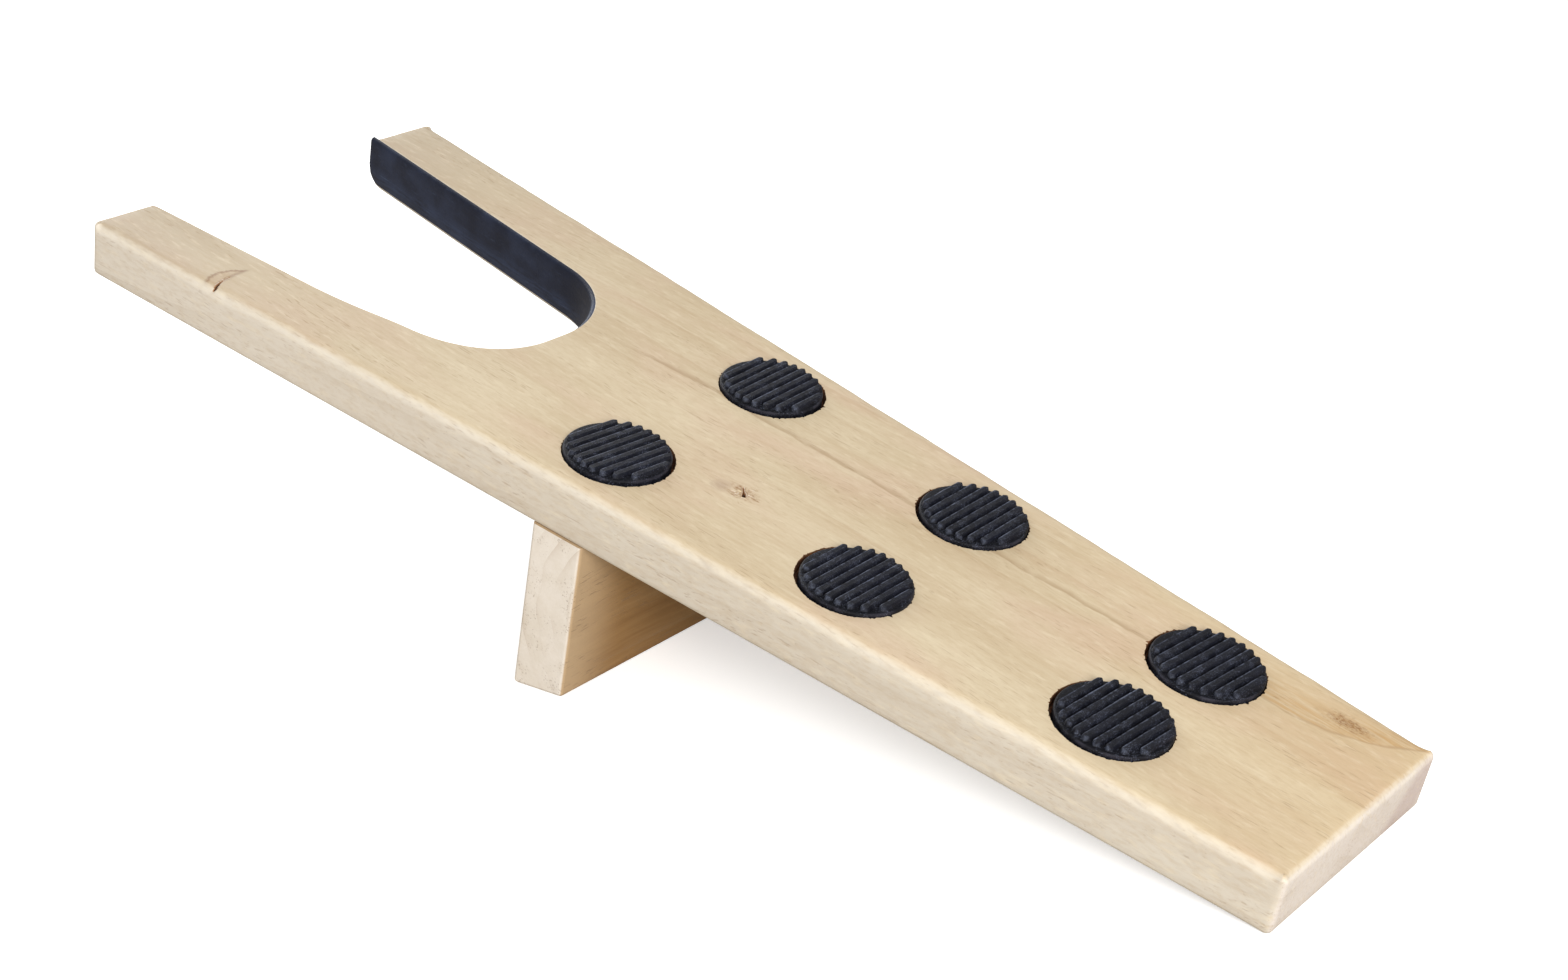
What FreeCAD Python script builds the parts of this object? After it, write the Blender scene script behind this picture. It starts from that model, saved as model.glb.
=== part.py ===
import FreeCAD, Part
import os
from math import pi, radians
import Sketcher

# Wooden boot jack: a tapered plank with a rubber-lined notch for the heel of a boot, held up at a
# slope by one leg. Six ribbed rubber pads, glued into drilled recesses, give the standing foot grip.
#
# Every sub-part is drawn in the plank's own frame: x runs along the plank from its low end to the
# fork, y points to its left side, and z = 0 is its top face. One placement then stands the jack up
# on the floor, with the fork towards -X, the left side towards -Y, and the origin at the centre of
# the leg's foot. Lengths are in millimetres and angles in degrees.

SIZES = [
    # alias, value, meaning
    ("board_length", 350, "plank, low end to fork tips"),
    ("low_end_width", 65, "plank width at the low end"),
    ("fork_end_width", 118.8, "plank width at the fork tips"),
    ("board_thickness", 15, "planed stock of the plank"),
    ("board_tilt", 13.7, "slope of the plank above the floor"),
    ("top_edge_radius", 2.5, "sanded edges of the top face and low end"),
    ("edge_radius", 1.5, "sanded edges of the underside and fork tips"),
    ("notch_depth", 112.8, "fork tips to the bottom of the notch"),
    ("notch_mouth", 79.5, "notch width at the fork tips"),
    ("notch_flare", 5.9, "angle of each notch flank to the plank's axis"),
    ("notch_corner", 27, "radius of the notch's two bottom corners"),
    ("liner_thickness", 1.2, "rubber strip round the notch"),
    ("liner_overhang", 1.5, "how far the strip runs past the fork tips"),
    ("liner_rise", 1.4, "gap from the underside up to the strip"),
    ("liner_tip_radius", 5, "rounded lower corners of the strip's ends"),
    ("liner_lip_radius", 0.9, "rounded inner top edge of the strip"),
    ("recess_diameter", 27.4, "drilled recess for a tread pad"),
    ("recess_depth", 3, "depth of that recess"),
    ("recess_inset", 19.4, "recess centre to the plank's side"),
    ("row_pitch", 68.2, "one pair of recesses to the next"),
    ("upper_skew", 0.65, "left recess ahead of the row's line, upper pair"),
    ("middle_skew", 0.2, "the same, middle pair"),
    ("lower_skew", 1.25, "the same, lower pair"),
    ("pad_gap", 0.5, "play between a pad and its recess wall"),
    ("pad_thickness", 3.9, "tread pad without its ribs"),
    ("pad_edge_radius", 0.5, "rounded rim of a pad"),
    ("rib_count", 9, "ribs on a pad"),
    ("rib_pitch", 2.6, "one rib to the next"),
    ("rib_base", 2.3, "rib width where it meets the pad"),
    ("rib_crest", 1.5, "rib width at its crest"),
    ("rib_height", 1, "rib above the pad"),
    ("rib_inset", 1, "plain rim round the ribs"),
    ("rib_shift", -0.6, "middle rib off the pad's centre, towards the low end"),
    ("left_upper_turn", -5, "how far the pad is turned in its recess"),
    ("left_middle_turn", 0, "the same"),
    ("left_lower_turn", -3, "the same"),
    ("right_upper_turn", 2, "the same"),
    ("right_middle_turn", 1, "the same"),
    ("right_lower_turn", -4.5, "the same"),
    ("left_upper_slip", 0.4, "how far the pad sits off its recess's centre, towards the fork"),
    ("left_middle_slip", -0.6, "the same"),
    ("left_lower_slip", -0.4, "the same"),
    ("right_upper_slip", 0.4, "the same"),
    ("right_middle_slip", -0.3, "the same"),
    ("right_lower_slip", -0.3, "the same"),
    ("leg_place", 180.2, "low end to the leg's lower face"),
    ("leg_thickness", 15, "planed stock of the leg"),
    ("leg_edge_radius", 1, "sanded edges of the leg"),
    ("screw_diameter", 4, "wood screw that holds the leg"),
    ("screw_length", 40, "head to point"),
    ("screw_head_diameter", 8, "countersunk head"),
    ("screw_point", 6, "tapered point of the screw"),
    ("screw_gap", 0.1, "play between a screw and the wood"),
    ("drive_width", 1.2, "one arm of the cross recess in the head"),
    ("drive_depth", 1.5, "depth of the cross recess"),
]

# The pads' rows, counted down from the leg, and the plank's two sides.
ROWS = ["upper", "middle", "lower"]
SIDES = {"left": 1, "right": -1}

BOARD_END = "Sizes.board_length"
LEG_CENTRE = "(Sizes.leg_place + Sizes.leg_thickness / 2)"
LEG_BACK = "(Sizes.leg_place + Sizes.leg_thickness)"
PAD_RADIUS = "(Sizes.recess_diameter / 2 - Sizes.pad_gap)"
SCREW_RADIUS = "(Sizes.screw_diameter / 2)"
HEAD_RADIUS = "(Sizes.screw_head_diameter / 2)"
# A 90 degree countersunk head is as deep as it is wider than the shank.
HEAD_DEPTH = f"({HEAD_RADIUS} - {SCREW_RADIUS})"

TOUCHING = 0.01


def half_width_at(place):
    """Half the plank's width at a place along it."""
    widening = "(Sizes.fork_end_width - Sizes.low_end_width) / Sizes.board_length"
    return f"((Sizes.low_end_width + ({place}) * {widening}) / 2)"


def floor_below(place):
    """How far the floor lies below the plank's underside, when the low end's rounded edge rests on it."""
    run = f"(({place}) - Sizes.edge_radius)"
    return (f"({run} * tan(Sizes.board_tilt) + Sizes.edge_radius / cos(Sizes.board_tilt)"
            " - Sizes.edge_radius)")


def recess_centre(row, side):
    """Centre of one pad's recess, as two expressions."""
    row_line = f"({LEG_CENTRE} - {ROWS.index(row)} * Sizes.row_pitch)"
    along = f"({row_line} + {SIDES[side]} * Sizes.{row}_skew)"
    across = f"({SIDES[side]} * ({half_width_at(row_line)} - Sizes.recess_inset))"
    return along, across


def make_sheet(doc):
    """The driving dimensions: a name, a value and a meaning in each row."""
    sheet = doc.addObject("Spreadsheet::Sheet", "Sizes")
    for row, (alias, value, meaning) in enumerate(SIZES, 1):
        sheet.set(f"A{row}", alias)
        sheet.set(f"B{row}", str(value))
        sheet.set(f"C{row}", meaning)
        sheet.setAlias(f"B{row}", alias)
    doc.recompute()


def new_body(doc, name):
    body = doc.addObject("PartDesign::Body", name)
    body.Label = name
    return body


def origin_feature(body, role):
    return [feature for feature in body.Origin.OriginFeatures if feature.Role == role][0]


def new_sketch(body, name, plane="XY_Plane", height="0"):
    """A sketch on one of the body's own planes, or at a height above it."""
    sketch = body.newObject("Sketcher::SketchObject", name)
    sketch.AttachmentSupport = (origin_feature(body, plane), "")
    sketch.MapMode = "FlatFace"
    sketch.setExpression("AttachmentOffset.Base.z", height)
    return sketch


def dimension(sketch, kind, where, size):
    """One dimension of a sketch, bound to an expression."""
    index = sketch.addConstraint(Sketcher.Constraint(kind, *where, sketch.evalExpression(size)))
    sketch.setExpression(f"Constraints[{index}]", size)


def place_point(sketch, curve, point, x, y):
    """Ties one point of a curve to its two distances from the sketch's origin."""
    dimension(sketch, "DistanceX", (-1, 1, curve, point), x)
    dimension(sketch, "DistanceY", (-1, 1, curve, point), y)


def draw_polygon(sketch, corners):
    points = [FreeCAD.Vector(sketch.evalExpression(x), sketch.evalExpression(y), 0) for x, y in corners]
    for start, end in zip(points, points[1:] + points[:1]):
        line = sketch.addGeometry(Part.LineSegment(start, end))
        place_point(sketch, line, 1, *corners[line])
    for line in range(len(points)):
        sketch.addConstraint(Sketcher.Constraint("Coincident", line, 2, (line + 1) % len(points), 1))


def draw_circle(sketch, x, y, radius):
    centre = FreeCAD.Vector(sketch.evalExpression(x), sketch.evalExpression(y), 0)
    up = FreeCAD.Vector(0, 0, 1)
    circle = sketch.addGeometry(Part.Circle(centre, up, sketch.evalExpression(radius)))
    place_point(sketch, circle, 3, x, y)
    dimension(sketch, "Radius", (circle,), radius)


def mirrored(point):
    """The same point on the plank's other side."""
    return FreeCAD.Vector(point.x, -point.y, point.z)


def draw_notch(sketch, inset, end):
    """
    The notch's U, inset from the wood: left flank, corner, bottom, corner, right flank.
    The flanks flare out to a given place along the plank. Returns the two flanks.
    """
    radius = f"(Sizes.notch_corner - {inset})"
    corner_x = f"({BOARD_END} - Sizes.notch_depth + Sizes.notch_corner)"
    corner_y = (f"(Sizes.notch_mouth / 2 - ({BOARD_END} - {corner_x}) * tan(Sizes.notch_flare)"
                " - Sizes.notch_corner / cos(Sizes.notch_flare))")
    end_y = (f"(Sizes.notch_mouth / 2 + ({end} - {BOARD_END}) * tan(Sizes.notch_flare)"
             f" - {inset} / cos(Sizes.notch_flare))")
    size, flare = sketch.evalExpression(radius), radians(sketch.evalExpression("Sizes.notch_flare"))
    centre = FreeCAD.Vector(sketch.evalExpression(corner_x), sketch.evalExpression(corner_y), 0)
    mouth = FreeCAD.Vector(sketch.evalExpression(end), sketch.evalExpression(end_y), 0)
    other_centre, other_mouth = mirrored(centre), mirrored(mouth)
    up = FreeCAD.Vector(0, 0, 1)
    left_corner = Part.ArcOfCircle(Part.Circle(centre, up, size), pi / 2 + flare, pi)
    right_corner = Part.ArcOfCircle(Part.Circle(other_centre, up, size), pi, 3 * pi / 2 - flare)
    flank = sketch.addGeometry(Part.LineSegment(mouth, left_corner.StartPoint))
    sketch.addGeometry(left_corner)
    sketch.addGeometry(Part.LineSegment(left_corner.EndPoint, right_corner.StartPoint))
    sketch.addGeometry(right_corner)
    other_flank = sketch.addGeometry(Part.LineSegment(right_corner.EndPoint, other_mouth))
    for curve in range(flank, other_flank):
        sketch.addConstraint(Sketcher.Constraint("Tangent", curve, 2, curve + 1, 1))
    place_point(sketch, flank, 1, end, end_y)
    place_point(sketch, flank + 1, 3, corner_x, corner_y)
    place_point(sketch, flank + 3, 3, corner_x, f"-{corner_y}")
    place_point(sketch, other_flank, 2, end, f"-{end_y}")
    dimension(sketch, "Radius", (flank + 1,), radius)
    dimension(sketch, "Radius", (flank + 3,), radius)
    return flank, other_flank


def join_ends(sketch, first, first_point, second, second_point):
    """A straight line from the end of one curve to the end of another."""
    start = sketch.getPoint(first, first_point)
    end = sketch.getPoint(second, second_point)
    line = sketch.addGeometry(Part.LineSegment(start, end))
    sketch.addConstraint(Sketcher.Constraint("Coincident", line, 1, first, first_point))
    sketch.addConstraint(Sketcher.Constraint("Coincident", line, 2, second, second_point))


def extrude(body, kind, name, sketch, length=None, both_ways=False, down=False):
    """A Pad or Pocket of a sketch. A Pocket with no length runs through everything."""
    feature = body.newObject(f"PartDesign::{kind}", name)
    feature.Profile = sketch
    feature.Reversed = down
    feature.Midplane = both_ways
    if length is None:
        feature.Type = "ThroughAll"
    else:
        feature.setExpression("Length", length)
    body.Document.recompute()
    return feature


def soften(body, name, base, radius, wanted):
    """Rounds the edges of a feature whose middle point passes a test."""
    names = []
    for number, edge in enumerate(base.Shape.Edges, 1):
        middle = edge.valueAt((edge.FirstParameter + edge.LastParameter) / 2)
        if wanted(middle):
            names.append(f"Edge{number}")
    fillet = body.newObject("PartDesign::Fillet", name)
    fillet.Base = (base, names)
    fillet.setExpression("Radius", radius)
    body.Document.recompute()
    return fillet


def make_board(doc):
    """Plank: tapered, sanded round its edges, then notched, drilled and countersunk."""
    body = new_body(doc, "board")
    outline = new_sketch(body, "board_outline")
    draw_polygon(outline, [
        ("0", "-Sizes.low_end_width / 2"),
        (BOARD_END, "-Sizes.fork_end_width / 2"),
        (BOARD_END, "Sizes.fork_end_width / 2"),
        ("0", "Sizes.low_end_width / 2"),
    ])
    plank = extrude(body, "Pad", "plank", outline, "Sizes.board_thickness", down=True)
    bottom = -body.evalExpression("Sizes.board_thickness")
    end = body.evalExpression(BOARD_END)

    def worn_by_feet(middle):
        on_top = abs(middle.z) < TOUCHING and middle.x < end - TOUCHING
        low_end_upright = abs(middle.z - bottom / 2) < TOUCHING and middle.x < TOUCHING
        return on_top or low_end_upright

    def under_or_at_fork(middle):
        return abs(middle.z - bottom) < TOUCHING or abs(middle.x - end) < TOUCHING

    sanded = soften(body, "sanded_top", plank, "Sizes.top_edge_radius", worn_by_feet)
    soften(body, "sanded_rest", sanded, "Sizes.edge_radius", under_or_at_fork)

    notch = new_sketch(body, "notch_outline")
    flanks = draw_notch(notch, "0", f"({BOARD_END} + Sizes.liner_overhang)")
    join_ends(notch, flanks[1], 2, flanks[0], 1)
    extrude(body, "Pocket", "notch", notch)

    circles = new_sketch(body, "recess_circles")
    for row in ROWS:
        for side in SIDES:
            draw_circle(circles, *recess_centre(row, side), "(Sizes.recess_diameter / 2)")
    extrude(body, "Pocket", "recesses", circles, "Sizes.recess_depth")

    centres = new_sketch(body, "screw_centres", height="-Sizes.recess_depth")
    for side in SIDES:
        draw_circle(centres, *recess_centre("upper", side), f"({SCREW_RADIUS} + Sizes.screw_gap)")
    drilled = body.newObject("PartDesign::Hole", "screw_holes")
    drilled.Profile = centres
    drilled.DepthType = "ThroughAll"
    drilled.HoleCutType = "Countersink"
    drilled.HoleCutCustomValues = True
    drilled.HoleCutCountersinkAngle = 90
    drilled.setExpression("Diameter", "Sizes.screw_diameter + 2 * Sizes.screw_gap")
    drilled.setExpression("HoleCutDiameter", "Sizes.screw_head_diameter + 2 * Sizes.screw_gap")
    tilt_up = "placement(vector(0; 0; 0); rotation(180; -Sizes.board_tilt; 0))"
    foot_depth = f"(Sizes.board_thickness + {floor_below(LEG_CENTRE)})"
    to_foot = f"placement(vector(-{LEG_CENTRE}; 0; {foot_depth}); rotation(0; 0; 0))"
    body.setExpression("Placement", f"{tilt_up} * {to_foot}")
    return body


def make_leg(doc):
    """Leg: a block of the same stock, flush with the plank's sides, its foot sawn to the slope."""
    body = new_body(doc, "leg")
    body.setExpression("Placement", "board.Placement")
    plan = new_sketch(body, "leg_plan", height="-Sizes.board_thickness")
    draw_polygon(plan, [
        ("Sizes.leg_place", f"-{half_width_at('Sizes.leg_place')}"),
        (LEG_BACK, f"-{half_width_at(LEG_BACK)}"),
        (LEG_BACK, half_width_at(LEG_BACK)),
        ("Sizes.leg_place", half_width_at("Sizes.leg_place")),
    ])
    block = extrude(body, "Pad", "leg_block", plan, floor_below(LEG_BACK), down=True)

    waste = new_sketch(body, "foot_waste", plane="XZ_Plane")
    front_depth = f"(Sizes.board_thickness + {floor_below('Sizes.leg_place')})"
    back_depth = f"(Sizes.board_thickness + {floor_below(LEG_BACK)})"
    draw_polygon(waste, [
        ("Sizes.leg_place", f"-{front_depth}"),
        ("Sizes.leg_place", f"-{back_depth}"),
        (LEG_BACK, f"-{back_depth}"),
    ])
    sawn = extrude(body, "Pocket", "sawn_foot", waste, both_ways=True)
    underside = -body.evalExpression("Sizes.board_thickness")
    soften(body, "sanded_leg", sawn, "Sizes.leg_edge_radius", lambda middle: middle.z < underside - TOUCHING)

    pilots = new_sketch(body, "pilot_circles", height="-Sizes.board_thickness")
    for side in SIDES:
        draw_circle(pilots, *recess_centre("upper", side), f"({SCREW_RADIUS} + Sizes.screw_gap)")
    below_board = "Sizes.recess_depth + Sizes.screw_length - Sizes.board_thickness + Sizes.screw_gap"
    extrude(body, "Pocket", "pilot_holes", pilots, below_board)
    return body


def make_notch_liner(doc):
    """Notch liner: one strip of rubber glued round the notch, its top flush with the plank."""
    body = new_body(doc, "notch_liner")
    body.setExpression("Placement", "board.Placement")
    strip = new_sketch(body, "liner_outline")
    end = f"({BOARD_END} + Sizes.liner_overhang)"
    outer = draw_notch(strip, "0", end)
    inner = draw_notch(strip, "Sizes.liner_thickness", end)
    join_ends(strip, outer[0], 1, inner[0], 1)
    join_ends(strip, outer[1], 2, inner[1], 2)
    depth = "(Sizes.board_thickness - Sizes.liner_rise)"
    plain = extrude(body, "Pad", "liner_strip", strip, depth, down=True)

    lower = -body.evalExpression(depth)
    tips = body.evalExpression(end)
    face = body.evalExpression(f"{BOARD_END} - Sizes.notch_depth + Sizes.liner_thickness")

    def tip_corner(middle):
        return abs(middle.x - tips) < TOUCHING and abs(middle.z - lower) < TOUCHING

    def inner_lip(middle):
        return abs(middle.x - face) < TOUCHING and abs(middle.z) < TOUCHING

    trimmed = soften(body, "trimmed_tips", plain, "Sizes.liner_tip_radius", tip_corner)
    soften(body, "rounded_lip", trimmed, "Sizes.liner_lip_radius", inner_lip)
    return body


def make_tread_pad(doc, row, side):
    """Tread pad: a moulded rubber disc with straight ribs across the plank."""
    body = new_body(doc, f"tread_pad_{side}_{row}")
    along, across = recess_centre(row, side)
    turn = f"rotation(Sizes.{side}_{row}_turn; 0; 0)"
    slipped = f"{along} + Sizes.{side}_{row}_slip"
    seat = f"placement(vector({slipped}; {across}; -Sizes.recess_depth); {turn})"
    body.setExpression("Placement", f"board.Placement * {seat}")
    rim = new_sketch(body, "pad_rim")
    draw_circle(rim, "0", "0", PAD_RADIUS)
    disc = extrude(body, "Pad", "pad_disc", rim, "Sizes.pad_thickness")
    top = body.evalExpression("Sizes.pad_thickness")
    soften(body, "rounded_rim", disc, "Sizes.pad_edge_radius", lambda middle: abs(middle.z - top) < TOUCHING)

    section = new_sketch(body, "rib_section", plane="XZ_Plane")
    first = "(Sizes.rib_shift - (Sizes.rib_count - 1) * Sizes.rib_pitch / 2)"
    crest = "Sizes.pad_thickness + Sizes.rib_height"
    draw_polygon(section, [
        (f"{first} - Sizes.rib_base / 2", "Sizes.pad_thickness"),
        (f"{first} + Sizes.rib_base / 2", "Sizes.pad_thickness"),
        (f"{first} + Sizes.rib_crest / 2", crest),
        (f"{first} - Sizes.rib_crest / 2", crest),
    ])
    rib = extrude(body, "Pad", "rib", section, f"2 * {PAD_RADIUS}", both_ways=True)
    ribs = body.newObject("PartDesign::LinearPattern", "ribs")
    ribs.Originals = [rib]
    ribs.Direction = (origin_feature(body, "X_Axis"), [""])
    ribs.setExpression("Length", "(Sizes.rib_count - 1) * Sizes.rib_pitch")
    ribs.setExpression("Occurrences", "Sizes.rib_count")
    body.Tip = ribs
    doc.recompute()

    trim = new_sketch(body, "rib_trim", height=crest)
    draw_circle(trim, "0", "0", f"({PAD_RADIUS} - Sizes.rib_inset)")
    draw_circle(trim, "0", "0", f"(2 * {PAD_RADIUS})")
    extrude(body, "Pocket", "trimmed_ribs", trim, "Sizes.rib_height")
    return body


def make_leg_screw(doc, side):
    """Leg screw: a countersunk wood screw through the plank into the leg, under an upper pad."""
    body = new_body(doc, f"leg_screw_{side}")
    along, across = recess_centre("upper", side)
    body.setExpression(
        "Placement",
        f"board.Placement * placement(vector({along}; {across}; -Sizes.recess_depth); rotation(0; 0; 0))",
    )
    profile = new_sketch(body, "screw_profile", plane="XZ_Plane")
    draw_polygon(profile, [
        ("0", "0"),
        (HEAD_RADIUS, "0"),
        (SCREW_RADIUS, f"-{HEAD_DEPTH}"),
        (SCREW_RADIUS, "Sizes.screw_point - Sizes.screw_length"),
        ("0", "-Sizes.screw_length"),
    ])
    turned = body.newObject("PartDesign::Revolution", "turned_screw")
    turned.Profile = profile
    turned.ReferenceAxis = (profile, ["V_Axis"])
    doc.recompute()
    arm, half_arm = HEAD_DEPTH, "(Sizes.drive_width / 2)"
    for name, x, y in (("drive_along", arm, half_arm), ("drive_across", half_arm, arm)):
        bar = new_sketch(body, f"{name}_outline")
        draw_polygon(bar, [(f"-{x}", f"-{y}"), (x, f"-{y}"), (x, y), (f"-{x}", y)])
        extrude(body, "Pocket", name, bar, "Sizes.drive_depth")
    return body


def check(doc, bodies):
    """Stops if any object failed, or any sub-part isn't one valid solid."""
    for item in doc.Objects:
        if {"Invalid", "Error"} & set(item.State):
            raise RuntimeError(f"{item.Label} failed: {item.State}")
    for body in bodies:
        shape = body.Shape
        if shape.isNull() or not shape.isValid() or len(shape.Solids) != 1:
            raise RuntimeError(f"{body.Label} isn't one valid solid")


def main():
    doc = FreeCAD.newDocument("boot_jack")
    make_sheet(doc)
    bodies = [make_board(doc), make_leg(doc), make_notch_liner(doc)]
    bodies += [make_tread_pad(doc, row, side) for row in ROWS for side in SIDES]
    bodies += [make_leg_screw(doc, side) for side in SIDES]
    doc.recompute()
    check(doc, bodies)
    os.makedirs("parts", exist_ok=True)
    for body in bodies:
        body.Shape.exportStep(f"parts/{body.Label}.step")
        box = body.Shape.BoundBox
        print(f"{body.Label}: {body.Shape.Volume:.0f} mm3, z {box.ZMin:.2f} to {box.ZMax:.2f}")


main()
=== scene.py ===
import math

import bmesh
import bpy
from mathutils import Matrix, Vector, geometry, noise


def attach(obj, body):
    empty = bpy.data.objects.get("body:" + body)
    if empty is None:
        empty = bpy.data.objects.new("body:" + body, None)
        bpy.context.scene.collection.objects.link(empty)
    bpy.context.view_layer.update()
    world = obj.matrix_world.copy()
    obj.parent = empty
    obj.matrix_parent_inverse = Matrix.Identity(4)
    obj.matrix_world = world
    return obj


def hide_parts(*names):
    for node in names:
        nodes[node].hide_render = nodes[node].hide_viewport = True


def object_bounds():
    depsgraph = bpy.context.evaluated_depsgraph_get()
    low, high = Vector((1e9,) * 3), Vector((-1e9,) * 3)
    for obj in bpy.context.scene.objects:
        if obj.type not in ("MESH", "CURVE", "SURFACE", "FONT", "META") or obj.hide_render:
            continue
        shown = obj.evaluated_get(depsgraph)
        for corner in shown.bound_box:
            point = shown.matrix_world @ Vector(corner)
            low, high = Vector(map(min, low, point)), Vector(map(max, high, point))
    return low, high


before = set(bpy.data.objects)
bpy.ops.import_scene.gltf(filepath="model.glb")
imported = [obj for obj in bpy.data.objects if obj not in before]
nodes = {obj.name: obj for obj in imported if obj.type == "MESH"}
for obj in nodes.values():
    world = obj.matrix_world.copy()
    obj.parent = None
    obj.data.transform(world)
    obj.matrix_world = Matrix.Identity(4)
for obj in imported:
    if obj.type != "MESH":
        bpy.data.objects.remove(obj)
cad_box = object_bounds()


# ---- Plank ----
# One piece of pale, close-grained hardwood, planed to 15 mm and sawn to a taper with a U notch for the
# boot's heel. Its outer edges are sanded round by hand, and six shallow recesses are drilled in its top.
# It stands at a slope, its low end on the floor and its middle on the leg.

mm = 0.001
board_length = 350 * mm
low_end_width = 65 * mm
fork_end_width = 118.8 * mm
board_thickness = 15 * mm
board_tilt = math.radians(13.7)
worn_edge = 2.5 * mm
sanded_edge = 1.5 * mm
sawn_edge = 0.25 * mm
low_corner = 1.7 * mm
low_end_edge = 1.9 * mm
tip_top_edge = 1 * mm
end_sanding = 0.2 * mm
fork_corner = 2 * mm

notch_depth = 112.8 * mm
notch_mouth = 79.5 * mm
notch_flare = math.radians(5.9)
notch_corner = 27 * mm

# From the low end to the middle of the leg, which is also where the upper pair of recesses lies.
leg_middle = 187.7 * mm
recess_radius = 13.7 * mm
recess_depth = 3 * mm
recess_inset = 19.4 * mm
countersink_radius = 4.1 * mm
countersink_depth = 2 * mm
bore_radius = 2.1 * mm
row_pitch = 68.2 * mm
row_skew = {"upper": 0.65 * mm, "middle": 0.2 * mm, "lower": 1.25 * mm}
side_sign = {"left": 1, "right": -1}

# The plank's own frame: x from the low end to the fork, y to the left side, z = 0 on the top face.
rise_to_leg = (leg_middle - sanded_edge) * math.tan(board_tilt)
underside_drop = rise_to_leg + sanded_edge / math.cos(board_tilt) - sanded_edge
stand_up = (
    Matrix.Rotation(board_tilt, 4, "Y")
    @ Matrix.Rotation(math.pi, 4, "Z")
    @ Matrix.Translation((-leg_middle, 0, board_thickness + underside_drop))
)
lie_flat = stand_up.inverted()
face_up = stand_up.to_3x3() @ Vector((0, 0, 1))
grain_way = stand_up.to_3x3() @ Vector((1, 0, 0))


def half_width(x):
    """Half the plank's width at a place along it."""
    return (low_end_width + (fork_end_width - low_end_width) * x / board_length) / 2


def recess_centre(row, side):
    """Centre of one recess on the top face."""
    row_line = leg_middle - list(row_skew).index(row) * row_pitch
    sign = side_sign[side]
    return Vector((row_line + sign * row_skew[row], sign * (half_width(row_line) - recess_inset)))


def straight(start, stop, step):
    """Points from start up to stop, without stop itself."""
    start, stop = Vector(start), Vector(stop)
    count = max(1, round((stop - start).length / step))
    return [start.lerp(stop, i / count) for i in range(count)]


def bend(centre, radius, first, last, step):
    """Points along an arc between two angles, without its last point."""
    count = max(3, round(abs(last - first) * radius / step))
    angles = [first + (last - first) * i / count for i in range(count)]
    return [Vector(centre) + radius * Vector((math.cos(a), math.sin(a))) for a in angles]


def across(p):
    """The same place on the plank's other side."""
    return Vector((p.x, -p.y))


def notch_side(beyond, step):
    """The notch's left half, from the middle of its bottom to a little beyond the fork tip."""
    corner_x = board_length - notch_depth + notch_corner
    flank_at_corner = notch_mouth / 2 - (board_length - corner_x) * math.tan(notch_flare)
    corner = Vector((corner_x, flank_at_corner - notch_corner / math.cos(notch_flare)))
    bottom_x = corner_x - notch_corner
    flank_foot = corner + notch_corner * Vector((-math.sin(notch_flare), math.cos(notch_flare)))
    flank_end = Vector((board_length + beyond, notch_mouth / 2 + beyond * math.tan(notch_flare)))
    run = straight((bottom_x, 0), (bottom_x, corner.y), step)
    run += bend(corner, notch_corner, math.pi, math.pi / 2 + notch_flare, step)
    return run + straight(flank_foot, flank_end, step) + [flank_end]


def sawn_short(p):
    """The left half as it came off the saw, which cut its corner short and left more wood there."""
    corner_spot, reach, most_wood = Vector((257 * mm, 28 * mm)), 22 * mm, 2.9 * mm
    share = math.exp(-(((p - corner_spot).length / reach) ** 2))
    middle = Vector((268 * mm, 4 * mm))
    return p + most_wood * max(0, share - 0.1) / 0.9 * (middle - p).normalized()


def plank_outline():
    """The plank's edge, anticlockwise from above: each point with its upper and its lower radius."""
    coarse, fine = 1.2 * mm, 0.3 * mm
    by_knot_from, by_knot_to = 314 * mm, 301 * mm
    taper = math.atan((fork_end_width - low_end_width) / 2 / board_length)
    low_x = low_corner + end_sanding
    low_centre = Vector((low_x, half_width(low_x) - low_corner / math.cos(taper)))
    fork_x = board_length - fork_corner
    fork_centre = Vector((fork_x, half_width(fork_x) - fork_corner))
    fork_side = fork_centre + fork_corner * Vector((-math.sin(taper), math.cos(taper)))
    low_side = low_centre + low_corner * Vector((-math.sin(taper), math.cos(taper)))
    knot_fork_side = Vector((by_knot_from, half_width(by_knot_from)))
    knot_low_side = Vector((by_knot_to, half_width(by_knot_to)))

    # Each half runs from the middle of the notch round to the middle of the low end.
    notch = notch_side(0, coarse)[:-1]
    tip = straight((board_length, notch_mouth / 2), (board_length, fork_centre.y), coarse / 2)
    tip += bend(fork_centre, fork_corner, 0, math.pi / 2 + taper, fine)
    side = straight(fork_side, knot_fork_side, coarse)
    side += straight(knot_fork_side, knot_low_side, fine)
    side += straight(knot_low_side, low_side, coarse)
    end = bend(low_centre, low_corner, math.pi / 2 + taper, math.pi, fine)
    end_start = len(end)
    end += straight((end_sanding, low_centre.y), (end_sanding, 0), coarse)
    end.append(Vector((end_sanding, 0)))
    rounded = [(p, tip_top_edge, sanded_edge) for p in tip]
    rounded += [(p, worn_edge, sanded_edge) for p in side]
    rounded += [(p, 0.8 * low_corner, 0.8 * low_corner) for p in end[:end_start]]
    rounded += [(p, low_end_edge, sanded_edge) for p in end[end_start:]]
    left = [(sawn_short(p), sawn_edge, sawn_edge) for p in notch] + rounded
    right = [(across(p), sawn_edge, sawn_edge) for p in notch]
    right += [(across(p), upper, lower) for p, upper, lower in rounded]
    right.reverse()
    return left[:-1] + right[:-1]


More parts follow.
